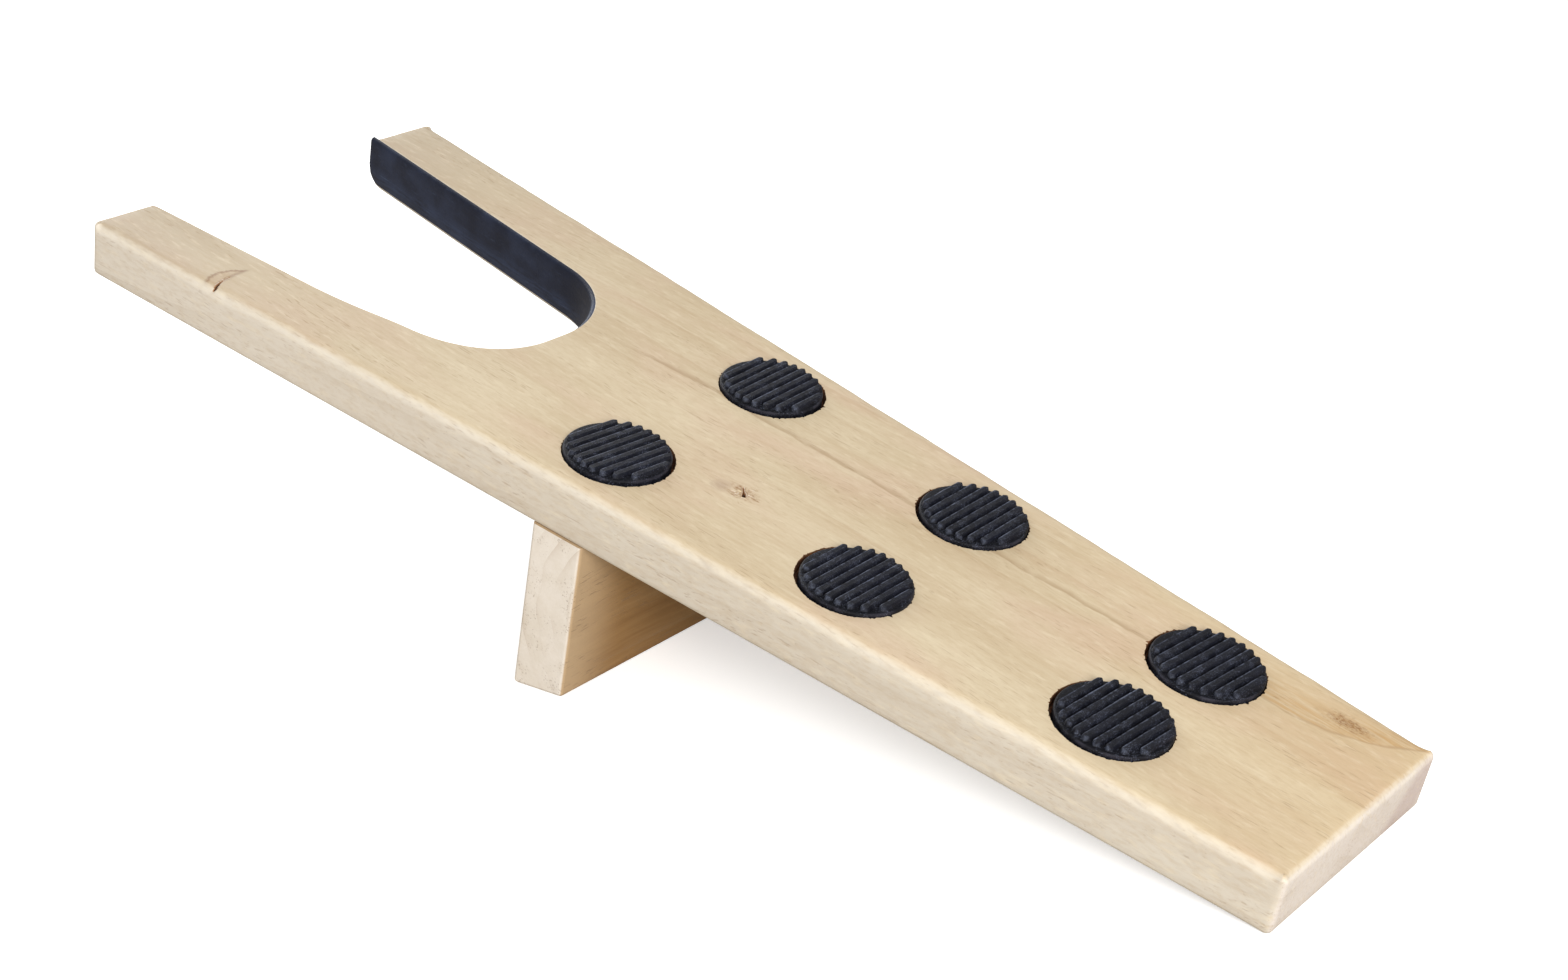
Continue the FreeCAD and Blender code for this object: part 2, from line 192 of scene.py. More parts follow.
def eased(values, passes):
    """A closed run of numbers, each averaged with its neighbours."""
    for _ in range(passes):
        after = values[1:] + values[:1]
        values = [(values[i - 1] + 2 * values[i] + after[i]) / 4 for i in range(len(values))]
    return values


def inward(points):
    """The way into the wood at each point of a closed run, longer at corners to keep both sides' inset."""
    ways = []
    for i, p in enumerate(points):
        before = (p - points[i - 1]).normalized()
        after = (points[(i + 1) % len(points)] - p).normalized()
        middle = (before + after).normalized()
        square = Vector((-middle.y, middle.x))
        ways.append(square / max(0.6, Vector((-before.y, before.x)).dot(square)))
    return ways


def hand_wear(p, reach):
    """How far in a hand-sanded edge was taken off: long slow waves with a finer fringe."""
    slow = noise.noise(Vector((p.x * 45, p.y * 45, 3.1)))
    quick = noise.noise(Vector((p.x * 260, p.y * 260, 7.7)))
    return reach * (1 + 0.3 * abs(slow) + 0.15 * abs(quick))


def tear_out(angle, seed):
    """How far the drill tore the rim of a recess: most where it met the fibres' ends."""
    spot = Vector((math.cos(angle), math.sin(angle), 0))
    coarse = noise.noise(spot * 7 + Vector((0, 0, seed)))
    splinters = noise.noise(spot * 26 + Vector((0, 0, seed + 4.3)))
    fibre_ends = abs(spot.x) ** 2
    return mm * (0.35 * abs(splinters) + fibre_ends * max(0, 0.5 * coarse + 0.8 * splinters - 0.1))


# Drying cracks in the knots, as straight lengths: where each starts and stops, and how wide it is there.
cracks = [
    ((304.8 * mm, 54.7 * mm), (305.4 * mm, 53.6 * mm), 0.9 * mm, 0.9 * mm),
    ((305.4 * mm, 53.6 * mm), (306.7 * mm, 50.5 * mm), 0.9 * mm, 0.4 * mm),
    ((306.7 * mm, 50.5 * mm), (307.2 * mm, 46.5 * mm), 0.4 * mm, 0.1 * mm),
    ((158.4 * mm, 16.1 * mm), (159.2 * mm, 15.2 * mm), 1.3 * mm, 1 * mm),
    ((159.2 * mm, 15.2 * mm), (161.1 * mm, 13.3 * mm), 0.7 * mm, 0.4 * mm),
    ((157.7 * mm, 15.2 * mm), (156.8 * mm, 14.8 * mm), 0.5 * mm, 0.3 * mm),
    ((161 * mm, 16.6 * mm), (161.7 * mm, 16.9 * mm), 0.4 * mm, 0.3 * mm),
    ((160.4 * mm, 17.7 * mm), (160 * mm, 16.4 * mm), 0.3 * mm, 0.3 * mm),
    ((158.2 * mm, 17.1 * mm), (156.9 * mm, 16.8 * mm), 0.3 * mm, 0.2 * mm),
    ((159.6 * mm, 13.1 * mm), (158.4 * mm, 12.6 * mm), 0.3 * mm, 0.2 * mm),
]
crack_depth = 1.1 * mm


def crack_share(x, y):
    """How far down a crack a place lies, from 0 on sound wood to 1 in the middle of its widest stretch."""
    deepest = 0
    for start, stop, first_width, last_width in cracks:
        _, along = geometry.intersect_point_line((x, y), start, stop)
        along = min(1, max(0, along))
        gap = (Vector((x, y)) - Vector(start).lerp(Vector(stop), along)).length
        width = first_width + (last_width - first_width) * along
        deepest = max(deepest, (1 - 2 * gap / width) * min(1, width / mm))
    return deepest


def make_plank():
    """The whole plank as one closed mesh in its own frame."""
    edge = plank_outline()
    points = [p for p, upper, lower in edge]
    ways = inward(points)
    upper = eased([hand_wear(p, reach) for p, reach, other in edge], 2)
    lower = eased([reach for p, other, reach in edge], 2)
    shape = bmesh.new()
    crack_layer = shape.verts.layers.float.new("crack")

    def place(p, z):
        """A point of the mesh, sunk where a crack runs."""
        vert = shape.verts.new((p.x, p.y, z))
        share = crack_share(p.x, p.y) if z > -0.7 * worn_edge else 0
        vert[crack_layer] = share
        vert.co.z -= crack_depth * share
        return vert

    def join(row, next_row, finish):
        """A closed band of faces between two runs of points."""
        for i in range(len(row)):
            after = (i + 1) % len(row)
            face = shape.faces.new((row[i], row[after], next_row[after], next_row[i]))
            face.material_index = finish

    # The edge's section, from the top face over the rounded edge, down the side and under.
    rows = []
    for turn in (0, 18, 36, 54, 72, 90):
        inset, drop = 1 - math.sin(math.radians(turn)), 1 - math.cos(math.radians(turn))
        rows.append([place(p + w * r * inset, -r * drop) for p, w, r in zip(points, ways, upper)])
    for share in (0.25, 0.5, 0.75):
        rows.append([
            place(p, -r - share * (board_thickness - r - s)) for p, r, s in zip(points, upper, lower)
        ])
    for turn in (90, 60, 30, 0):
        inset, drop = 1 - math.sin(math.radians(turn)), 1 - math.cos(math.radians(turn))
        rows.append([
            place(p + w * r * inset, r * drop - board_thickness) for p, w, r in zip(points, ways, lower)
        ])
    for row, next_row in zip(rows, rows[1:]):
        join(next_row, row, 0)

    # The recesses, with their torn rims. Two of them have a countersunk hole for a leg screw.
    spoke_count = 240
    angles = [math.tau * i / spoke_count for i in range(spoke_count)]
    rims, bores = [], []
    for number, (row, side) in enumerate((r, s) for r in row_skew for s in side_sign):
        centre = recess_centre(row, side)
        spokes = [Vector((math.cos(a), math.sin(a))) for a in angles]
        torn = [tear_out(a, 11.7 * number) for a in angles]
        wall = [
            [place(centre + s * (recess_radius + t), 0) for s, t in zip(spokes, torn)],
            [
                place(centre + s * (recess_radius + t / 2), -0.25 * mm - t / 2) for s, t in zip(spokes, torn)
            ],
            [place(centre + s * recess_radius, -1.2 * mm) for s in spokes],
        ]
        steps = [(recess_radius, recess_depth), (9 * mm, recess_depth), (countersink_radius, recess_depth)]
        if row == "upper":
            steps += [(bore_radius, recess_depth + countersink_depth), (bore_radius, board_thickness)]
        wall += [[place(centre + s * reach, -depth) for s in spokes] for reach, depth in steps]
        for ring, next_ring in zip(wall, wall[1:]):
            join(ring, next_ring, 1)
        if row == "upper":
            bores.append(wall[-1])
        else:
            middle = place(centre, -recess_depth)
            for i in range(len(angles)):
                face = shape.faces.new((wall[-1][i], wall[-1][(i + 1) % len(angles)], middle))
                face.material_index = 1
        rims.append(wall[0])

    def fill(outer, holes, extra, z):
        """A flat face of small triangles inside one run of points and outside others."""
        known = outer + [vert for hole in holes for vert in hole]
        spots = [vert.co.to_2d() for vert in known] + extra
        runs, start = [], 0
        for run in [outer] + holes:
            runs.append(list(range(start, start + len(run))))
            start += len(run)
        found = geometry.delaunay_2d_cdt(spots, [], runs, 1, 1e-8, True)
        flat, _, triangles, sources, _, owners = found
        verts = {}
        for triangle, owner in zip(triangles, owners):
            if owner != [0]:
                continue
            corners = []
            for i in triangle:
                if i not in verts:
                    first = min(sources[i], default=-1)
                    verts[i] = known[first] if 0 <= first < len(known) else place(flat[i], z)
                corners.append(verts[i])
            if z < 0:
                corners.reverse()
            shape.faces.new(corners)

    def sprinkle(low_x, high_x, low_y, high_y, step):
        """A grid of points over part of the face."""
        columns = round((high_x - low_x) / step)
        places = round((high_y - low_y) / step)
        return [
            Vector((low_x + i * step, low_y + (j + (i % 2) / 2) * step))
            for i in range(columns)
            for j in range(places)
        ]

    def clear_of_edges(p):
        """Whether a point lies on the flat of the top, inside its rounded edges."""
        return abs(p.y) < half_width(p.x) - 1.4 * worn_edge and 4 * mm < p.x < board_length - 3 * mm

    inner = [p for p in sprinkle(0, board_length, -60 * mm, 60 * mm, 2.4 * mm) if clear_of_edges(p)]
    inner += sprinkle(156 * mm, 162 * mm, 12 * mm, 18.5 * mm, 0.2 * mm)
    by_fork_knot = sprinkle(303 * mm, 309 * mm, 45 * mm, 54 * mm, 0.3 * mm)
    inner += [p for p in by_fork_knot if p.y < half_width(p.x) - 1.3 * worn_edge]
    fill(rows[0], rims, inner, 0)
    fill(rows[-1], bores, [], -board_thickness)
    bmesh.ops.recalc_face_normals(shape, faces=shape.faces)
    mesh = bpy.data.meshes.new("plank")
    shape.to_mesh(mesh)
    shape.free()
    mesh.shade_smooth()
    mesh.set_sharp_from_angle(angle=math.radians(42))
    mesh.transform(stand_up)
    piece = bpy.data.objects.new("plank", mesh)
    bpy.context.scene.collection.objects.link(piece)
    return piece


plank = make_plank()


def paint(red, green, blue):
    """A colour from the 0 to 255 values of a paint chart, as the linear values a shader needs."""
    linear = [c / 255 / 12.92 if c < 10.3 else ((c / 255 + 0.055) / 1.055) ** 2.4 for c in (red, green, blue)]
    return (*linear, 1)


def put(tree, kind, settings=None, **sockets):
    """Places a node; what is given for a socket is its value, or another node's socket to link to it."""
    node = tree.nodes.new("ShaderNode" + kind)
    for name, value in (settings or {}).items():
        setattr(node, name, value)
    for name, value in sockets.items():
        feed(tree, node.inputs[name.replace("_", " ")], value)
    return node


def feed(tree, socket, value):
    """Gives a socket a value, or links another node's socket to it."""
    if isinstance(value, bpy.types.NodeSocket):
        tree.links.new(value, socket)
    else:
        socket.default_value = value


def sums(tree, operation, *values):
    """The result of one step of arithmetic on numbers."""
    node = tree.nodes.new("ShaderNodeMath")
    node.operation = operation
    for socket, value in zip(node.inputs, values):
        feed(tree, socket, value)
    return node.outputs[0]


def scaled(tree, value, times, plus):
    """A number times another, with a third added."""
    return sums(tree, "ADD", sums(tree, "MULTIPLY", value, times), plus)


def vectors(tree, operation, *values):
    """The result of one step of arithmetic on vectors."""
    node = tree.nodes.new("ShaderNodeVectorMath")
    node.operation = operation
    for socket, value in zip(node.inputs, values):
        feed(tree, socket, value)
    return node.outputs["Value"] if operation in ("LENGTH", "DOT_PRODUCT") else node.outputs[0]


def rise(tree, value, low, high):
    """0 below low and 1 above high, with a soft step between; the other way round if low is larger."""
    node = put(tree, "MapRange", {"interpolation_type": "SMOOTHSTEP"}, Value=value)
    node.inputs["From Min"].default_value = min(low, high)
    node.inputs["From Max"].default_value = max(low, high)
    node.inputs["To Min"].default_value = 0 if low < high else 1
    node.inputs["To Max"].default_value = 1 if low < high else 0
    return node.outputs[0]


def tint(tree, share, colour, other, mode="MIX"):
    """A colour turned towards another by a share of 0 to 1."""
    node = tree.nodes.new("ShaderNodeMix")
    node.data_type = "RGBA"
    node.blend_type = mode
    feed(tree, node.inputs[0], share)
    feed(tree, node.inputs[6], colour)
    feed(tree, node.inputs[7], other)
    return node.outputs[2]


def stain(tree, colour, other, mask, strength):
    """A colour turned towards another where a mask is high, by up to the strength."""
    return tint(tree, sums(tree, "MULTIPLY", mask, strength), colour, other)


def cloud(tree, vector, stretch, detail=2, roughness=0.5):
    """Soft noise of 0 to 1; stretch is how many of its lumps fit in one unit along x, y and z."""
    stretched = vectors(tree, "MULTIPLY", vector, stretch)
    return put(tree, "TexNoise", Vector=stretched, Scale=1, Detail=detail, Roughness=roughness).outputs[0]


def start_group(name, inputs, outputs):
    """A new node group with its named inputs and outputs."""
    group = bpy.data.node_groups.new(name, "ShaderNodeTree")
    kinds = {"vector": "NodeSocketVector", "number": "NodeSocketFloat", "colour": "NodeSocketColor"}
    for label, kind, value in inputs:
        group.interface.new_socket(label, in_out="INPUT", socket_type=kinds[kind]).default_value = value
    for label, kind in outputs:
        group.interface.new_socket(label, in_out="OUTPUT", socket_type=kinds[kind])
    return group, group.nodes.new("NodeGroupInput").outputs, group.nodes.new("NodeGroupOutput").inputs


def make_timber_figure():
    """What a tree's growth shows on any cut face, from a place in millimetres with x along the grain."""
    group, given, made = start_group(
        "timber figure",
        [
            ("Place", "vector", (0, 0, 0)),
            ("Pith", "vector", (0, 20, -55)),
            ("Ring Width", "number", 6.5),
            ("Pore Crowding", "number", 0.5),
        ],
        [
            ("Rings", "number"),
            ("Fibre", "number"),
            ("Pores", "number"),
            ("Drift", "number"),
            ("Height", "number"),
        ],
    )
    from_pith = vectors(group, "SUBTRACT", given["Place"], given["Pith"])
    drawn_out = vectors(group, "MULTIPLY", from_pith, (0.045, 1, 1))
    wave_scale = sums(group, "DIVIDE", 0.314, given["Ring Width"])
    wave = put(
        group, "TexWave", {"wave_type": "RINGS", "rings_direction": "X", "wave_profile": "SAW"},
        Vector=drawn_out, Scale=wave_scale, Distortion=3.4, Detail=2, Detail_Scale=0.9, Detail_Roughness=0.55,
    )
    late_wood = sums(group, "POWER", wave.outputs["Fac"], 3)
    faint = cloud(group, given["Place"], (0.012, 0.06, 0.06))
    rings = sums(group, "MULTIPLY", late_wood, rise(group, faint, 0.35, 0.65))
    meander = cloud(group, given["Place"], (0.012, 0.02, 0.02), detail=1)
    meander = sums(group, "MULTIPLY", sums(group, "SUBTRACT", meander, 0.5), 14)
    swayed = vectors(group, "ADD", given["Place"], put(group, "CombineXYZ", Y=meander, Z=meander).outputs[0])
    fine = cloud(group, swayed, (0.045, 1.3, 1.3), detail=3, roughness=0.55)
    broad = cloud(group, swayed, (0.02, 0.3, 0.3), detail=3, roughness=0.5)
    fibre = scaled(group, fine, 0.45, sums(group, "MULTIPLY", broad, 0.55))
    drift = cloud(group, swayed, (0.012, 0.045, 0.045), detail=3)
    grouped = cloud(group, given["Place"], (0.02, 0.12, 0.12))
    crowding = sums(group, "MULTIPLY", given["Pore Crowding"], 0.16)
    threshold = sums(group, "SUBTRACT", 0.71, crowding)
    dashes = cloud(group, swayed, (0.2, 2.2, 2.2), detail=1)
    over = sums(group, "MULTIPLY", sums(group, "SUBTRACT", dashes, threshold), 14)
    open_pores = sums(group, "MULTIPLY", over, rise(group, grouped, 0.42, 0.62))
    pores = put(group, "Clamp", Value=open_pores).outputs[0]
    low_pores = sums(group, "MULTIPLY", pores, -0.9)
    low_rings = sums(group, "MULTIPLY", rings, 0.3)
    height = sums(group, "ADD", sums(group, "ADD", fibre, low_rings), low_pores)
    results = {"Rings": rings, "Fibre": fibre, "Pores": pores, "Drift": drift, "Height": height}
    for label, value in results.items():
        group.links.new(value, made[label])
    return group


def make_knot():
    """A small knot: a soft brown stain, the knot's own tight rings, and fibres that part to pass it."""
    group, given, made = start_group(
        "knot",
        [
            ("Place", "vector", (0, 0, 0)),
            ("Centre", "vector", (0, 0, 0)),
            ("Reach", "vector", (6, 3, 30)),
            ("Raggedness", "number", 0.5),
            ("Rim Width", "number", 0.2),
        ],
        [
            ("Stain", "number"),
            ("Eye", "number"),
            ("Rim", "number"),
            ("Inside", "number"),
            ("Parting", "number"),
        ],
    )
    away = vectors(group, "SUBTRACT", given["Place"], given["Centre"])
    unit = vectors(group, "DIVIDE", away, given["Reach"])
    ragged = cloud(group, given["Place"], (0.3, 0.6, 0.3), detail=4, roughness=0.7)
    ragged = sums(group, "SUBTRACT", ragged, 0.5)
    ragged = sums(group, "MULTIPLY", sums(group, "MULTIPLY", ragged, 3), given["Raggedness"])
    distance = sums(group, "ADD", vectors(group, "LENGTH", unit), ragged)
    brown = rise(group, distance, 1.25, 0.1)
    rings = sums(group, "SINE", sums(group, "MULTIPLY", distance, 16))
    rings = sums(group, "MULTIPLY", sums(group, "ADD", rings, 1), 0.5)
    eye = sums(group, "MULTIPLY", rings, rise(group, distance, 0.75, 0.15))
    off_rim = sums(group, "ABSOLUTE", sums(group, "SUBTRACT", distance, 0.85))
    rim = sums(group, "SUBTRACT", 1, sums(group, "DIVIDE", off_rim, given["Rim Width"]))
    rim = sums(group, "MAXIMUM", rim, 0)
    inside = rise(group, distance, 0.9, 0.8)
    near = rise(group, vectors(group, "LENGTH", vectors(group, "MULTIPLY", unit, (0.35, 0.6, 0))), 1, 0)
    side = put(group, "SeparateXYZ", Vector=unit).outputs["Y"]
    parting = sums(group, "MULTIPLY", near, sums(group, "TANH", side))
    results = {"Stain": brown, "Eye": eye, "Rim": rim, "Inside": inside, "Parting": parting}
    for label, value in results.items():
        group.links.new(value, made[label])
    return group


timber_figure = make_timber_figure()
knot = make_knot()


def grow(tree, group, **sockets):
    """Places a node group."""
    node = tree.nodes.new("ShaderNodeGroup")
    node.node_tree = group
    for name, value in sockets.items():
        feed(tree, node.inputs[name.replace("_", " ")], value)
    return node.outputs


def start_material(name):
    """A new material, with its node tree and its shader."""
    material = bpy.data.materials.new(name)
    material.use_nodes = True
    tree = material.node_tree
    return material, tree, tree.nodes["Principled BSDF"]


def place_in(tree, frame_matrix):
    """Each place on the surface in another frame, in millimetres."""
    place = put(tree, "TexCoord").outputs["Object"]
    mapping = put(tree, "Mapping", Vector=place)
    mapping.inputs["Location"].default_value = frame_matrix.translation / mm
    mapping.inputs["Rotation"].default_value = frame_matrix.to_euler()
    mapping.inputs["Scale"].default_value = (1 / mm, 1 / mm, 1 / mm)
    return mapping.outputs[0]


def facing(tree, way):
    """How squarely the surface faces a way, from -1 to 1."""
    return vectors(tree, "DOT_PRODUCT", put(tree, "NewGeometry").outputs["Normal"], tuple(way))


top_light = paint(206, 191, 162)
top_dark = paint(184, 164, 132)
warm_heart = paint(196, 165, 119)
side_light = paint(200, 192, 178)
side_dark = paint(184, 172, 155)
polished_pale_and_highlight = paint(216, 206, 187)
knot_brown = paint(122, 84, 54)
crack_brown = paint(52, 28, 14)
end_mauve = paint(182, 166, 162)
ring_brown = paint(168, 141, 106)
blush_pink = paint(196, 168, 145)
handled_grey_and_shade = paint(166, 150, 128)
tip_grey_and_shade = paint(150, 134, 112)
fork_side_painted_light = paint(222, 214, 202)
corner_brown = paint(176, 134, 76)
corner_line_brown = paint(146, 110, 70)
growth_line_brown = paint(150, 122, 88)
leaf_brown = paint(158, 122, 84)
arc_brown = paint(124, 88, 56)
crack_shade_brown = paint(118, 82, 56)
faint_knot_brown = paint(150, 124, 104)
faint_rim_brown = paint(128, 104, 86)
knot_stain_brown = paint(134, 92, 42)
chip_pale = paint(226, 208, 170)
end_grey = paint(212, 204, 200)
side_ring_brown = paint(170, 155, 135)
pore_brown = paint(134, 106, 78)
fleck_brown = paint(170, 146, 112)
patch_pale = paint(220, 206, 178)
speck_brown = paint(140, 118, 94)
crack_lip_brown = paint(150, 108, 72)


def make_planed_wood():
    """The plank's top and sawn sides, with each of its knots, lines and cracks in its own place."""
    material, tree, shader = start_material("planed hardwood")
    place = place_in(tree, lie_flat)
    fork_knot = grow(
        tree, knot, Place=place, Centre=(301.6, 49.6, 0), Reach=(10, 10.2, 40), Raggedness=0.07,
        Rim_Width=0.075,
    )
    pin_knot = grow(tree, knot, Place=place, Centre=(159.3, 15.2, 0), Reach=(4.2, 3.2, 40), Raggedness=0.9)
    pin_chip = grow(tree, knot, Place=place, Centre=(160.4, 15.3, 0), Reach=(0.7, 0.5, 40), Raggedness=0.3)
    faint_knot = grow(tree, knot, Place=place, Centre=(164.8, 17, 0), Reach=(2.9, 2.8, 40), Raggedness=0.15)
    low_knot = grow(tree, knot, Place=place, Centre=(18.5, -25, 0), Reach=(7, 3, 40), Raggedness=0.6)
    parting = sums(tree, "ADD", fork_knot["Parting"], low_knot["Parting"])
    parting = sums(tree, "MULTIPLY", sums(tree, "ADD", parting, pin_knot["Parting"]), -2.2)
    aside = put(tree, "CombineXYZ", Y=parting).outputs[0]
    flow = vectors(tree, "ADD", place, aside)
    figure = grow(tree, timber_figure, Place=flow, Pith=(0, 24, -50), Ring_Width=7.5, Pore_Crowding=0.55)
    split = put(tree, "SeparateXYZ", Vector=flow)
    x, y = split.outputs["X"], split.outputs["Y"]

    # The top is planed and yellower; the sawn sides are paler and greyer.
    topness = rise(tree, facing(tree, face_up), 0.55, 0.98)
    streak = scaled(tree, figure["Fibre"], 0.75, sums(tree, "MULTIPLY", figure["Drift"], 0.75))
    streak = rise(tree, streak, 0.4, 1.15)
    top = tint(tree, streak, top_light, top_dark)
    side = tint(tree, streak, side_light, side_dark)
    top = stain(tree, top, ring_brown, figure["Rings"], 0.35)

    # Heartwood warms the low end, most towards its right corner.
    blush = rise(tree, cloud(tree, place, (0.02, 0.045, 0.045), detail=3), 0.45, 0.7)
    top = stain(tree, top, blush_pink, blush, 0.45)
    towards_low = sums(tree, "SUBTRACT", 105, x)
    warmth = sums(tree, "SUBTRACT", towards_low, sums(tree, "MULTIPLY", y, 1.1))
    warmth = sums(tree, "ADD", warmth, sums(tree, "MULTIPLY", figure["Fibre"], 40))
    warmth = rise(tree, warmth, 20, 175)
    top = stain(tree, top, warm_heart, warmth, 0.42)

    # The fork is painted a little greyer and darker, most at its tips: partly wood that has been handled
    # most, partly painted shade where the lamps' light falls off towards the fork. The sawn sides are painted
    # paler towards the fork, a painted light against the same fall-off.
    top = stain(tree, top, handled_grey_and_shade, rise(tree, x, 200, 330), 0.35)
    top = stain(tree, top, tip_grey_and_shade, rise(tree, x, 290, 350), 0.35)
    side = stain(tree, side, fork_side_painted_light, rise(tree, x, 130, 330), 0.45)

    # The dark line that leaves the low knot and sweeps to the right corner, and the browner wood beyond it.
    square_x = sums(tree, "MULTIPLY", x, x)
    line_y = scaled(tree, x, 0.99, sums(tree, "MULTIPLY", square_x, -0.0165))
    line_y = sums(tree, "ADD", line_y, -32.25)
    wobble = sums(tree, "MULTIPLY", sums(tree, "SUBTRACT", cloud(tree, place, (0.12, 0.3, 0.3)), 0.5), 2.4)
    beyond = sums(tree, "SUBTRACT", sums(tree, "ADD", line_y, wobble), y)
    by_corner = rise(tree, x, 62, 22)
    line = sums(tree, "MULTIPLY", rise(tree, sums(tree, "ABSOLUTE", beyond), 0.8, 0.05), by_corner)
    brown_side = sums(tree, "MULTIPLY", rise(tree, beyond, -0.3, 0.6), by_corner)
    brown_side = sums(tree, "MULTIPLY", brown_side, rise(tree, beyond, 13, 2))
    brown_fibres = rise(tree, cloud(tree, flow, (0.06, 1, 1), detail=3, roughness=0.6), 0.36, 0.62)
    brown_side = sums(tree, "MULTIPLY", brown_side, scaled(tree, brown_fibres, 0.62, 0.06))
    top = tint(tree, brown_side, top, corner_brown)
    top = stain(tree, top, corner_line_brown, line, 0.4)

    # One darker growth line runs nearly the whole length, right of the middle.
    past_leg = sums(tree, "MAXIMUM", sums(tree, "SUBTRACT", x, 190), 0)
    long_y = sums(tree, "MULTIPLY", sums(tree, "MULTIPLY", past_leg, past_leg), 0.0022)
    long_y = sums(tree, "ADD", sums(tree, "ADD", long_y, -14.4), wobble)
    off_line = sums(tree, "SUBTRACT", long_y, y)
    long_line = sums(tree, "MULTIPLY", rise(tree, off_line, -0.5, 0.1), rise(tree, off_line, 2.2, 0.1))
    long_line = sums(tree, "MULTIPLY", long_line, rise(tree, x, 40, 75))
    breaks = rise(tree, cloud(tree, place, (0.02, 0.02, 0.02)), 0.3, 0.55)
    long_line = sums(tree, "MULTIPLY", long_line, breaks)
    top = stain(tree, top, growth_line_brown, long_line, 0.55)

    # The knot at the fork: a leaf of brown wood between its crack and a thin dark arc.
    past_bend = sums(tree, "MAXIMUM", sums(tree, "SUBTRACT", y, 44), 0)
    crack_bend = sums(tree, "MULTIPLY", sums(tree, "POWER", past_bend, 2), 0.024)
    from_crack = sums(tree, "ADD", sums(tree, "SUBTRACT", x, 307.4), crack_bend)
    past_crack = rise(tree, from_crack, -0.2, 0.7)
    leaf = sums(tree, "MULTIPLY", fork_knot["Inside"], past_crack)
    leaf_light = sums(tree, "MULTIPLY", leaf, scaled(tree, figure["Fibre"], 0.5, 0.05))
    top = tint(tree, leaf_light, top, leaf_brown)
    arc = sums(tree, "MULTIPLY", fork_knot["Rim"], rise(tree, from_crack, -0.6, 0.4))
    top = stain(tree, top, arc_brown, arc, 0.75)
    beside_crack = rise(tree, sums(tree, "ABSOLUTE", from_crack), 1.1, 0)
    shade = sums(tree, "MULTIPLY", beside_crack, rise(tree, y, 41, 46))
    top = stain(tree, top, crack_shade_brown, shade, 0.5)

    # The pin knot with its splintered fibres, the faint one beside it, and the low knot's tight loops.
    top = stain(tree, top, faint_knot_brown, faint_knot["Stain"], 0.5)
    top = stain(tree, top, faint_rim_brown, faint_knot["Rim"], 0.08)
    splinters = rise(tree, cloud(tree, place, (0.9, 1.8, 1.8), detail=3, roughness=0.7), 0.44, 0.6)
    for mark, strength in ((pin_knot, 0.95), (low_knot, 0.85)):
        stained = sums(tree, "MULTIPLY", mark["Stain"], scaled(tree, splinters, 0.9, 0.2))
        top = stain(tree, top, knot_stain_brown, stained, strength)
        top = stain(tree, top, knot_brown, mark["Eye"], strength / 2)
    top = stain(tree, top, chip_pale, pin_chip["Stain"], 0.8)

    # The end of the plank shows the growth rings cut across, with a mauve band near its right corner.
    endness = rise(tree, sums(tree, "MULTIPLY", facing(tree, grain_way), -1), 0.5, 0.9)
    depth = put(tree, "SeparateXYZ", Vector=place).outputs["Z"]
    slant = sums(tree, "ADD", y, sums(tree, "MULTIPLY", depth, 0.9))
    band = sums(tree, "MULTIPLY", rise(tree, slant, -44, -38), rise(tree, slant, -22, -30))
    side = stain(tree, side, end_grey, endness, 0.6)
    side = stain(tree, side, end_mauve, sums(tree, "MULTIPLY", band, endness), 0.7)
    side = stain(tree, side, side_ring_brown, figure["Rings"], 0.25)

    colour = tint(tree, topness, side, top)
    colour = stain(tree, colour, pore_brown, figure["Pores"], 0.3)

    # Short soft flecks all over, and on the sawn sides small dark specks.
    flecks = rise(tree, cloud(tree, flow, (0.3, 1.1, 1.1), detail=4, roughness=0.65), 0.4, 0.75)
    colour = stain(tree, colour, fleck_brown, flecks, 0.3)
    pale = rise(tree, cloud(tree, flow, (0.16, 0.6, 0.6), detail=4, roughness=0.6), 0.5, 0.75)
    colour = stain(tree, colour, patch_pale, pale, 0.3)
    specks = rise(tree, cloud(tree, place, (0.7, 1.5, 1.5), detail=3, roughness=0.7), 0.62, 0.72)
    specks = sums(tree, "MULTIPLY", specks, rise(tree, topness, 0.6, 0.2))
    colour = stain(tree, colour, speck_brown, specks, 0.3)

    # The rounded edge between the top and the sides is painted paler: partly polish from hands and feet,
    # partly a painted highlight where the rounding catches the light.
    turned = facing(tree, face_up)
    arris = sums(tree, "MULTIPLY", rise(tree, turned, 0.12, 0.45), rise(tree, turned, 0.995, 0.86))
    fringe = rise(tree, cloud(tree, place, (0.25, 0.9, 0.9), detail=3), 0.25, 0.6)
    polished_and_highlight = sums(tree, "MULTIPLY", arris, fringe)
    colour = stain(tree, colour, polished_pale_and_highlight, polished_and_highlight, 0.42)
    cracked = put(tree, "Attribute", {"attribute_name": "crack"}).outputs["Fac"]
    colour = tint(tree, rise(tree, cracked, 0.0, 0.25), colour, crack_lip_brown)
    colour = tint(tree, rise(tree, cracked, 0.2, 0.6), colour, crack_brown)
    tree.links.new(colour, shader.inputs["Base Color"])

    roughness = scaled(tree, figure["Fibre"], 0.22, 0.42)
    roughness = sums(tree, "ADD", roughness, sums(tree, "MULTIPLY", figure["Pores"], 0.2))
    roughness = sums(tree, "SUBTRACT", roughness, sums(tree, "MULTIPLY", polished_and_highlight, 0.08))
    tree.links.new(roughness, shader.inputs["Roughness"])
    bump = put(tree, "Bump", Strength=0.35, Distance=0.00012, Height=figure["Height"])
    tree.links.new(bump.outputs[0], shader.inputs["Normal"])
    shader.inputs["Specular IOR Level"].default_value = 0.35
    return material


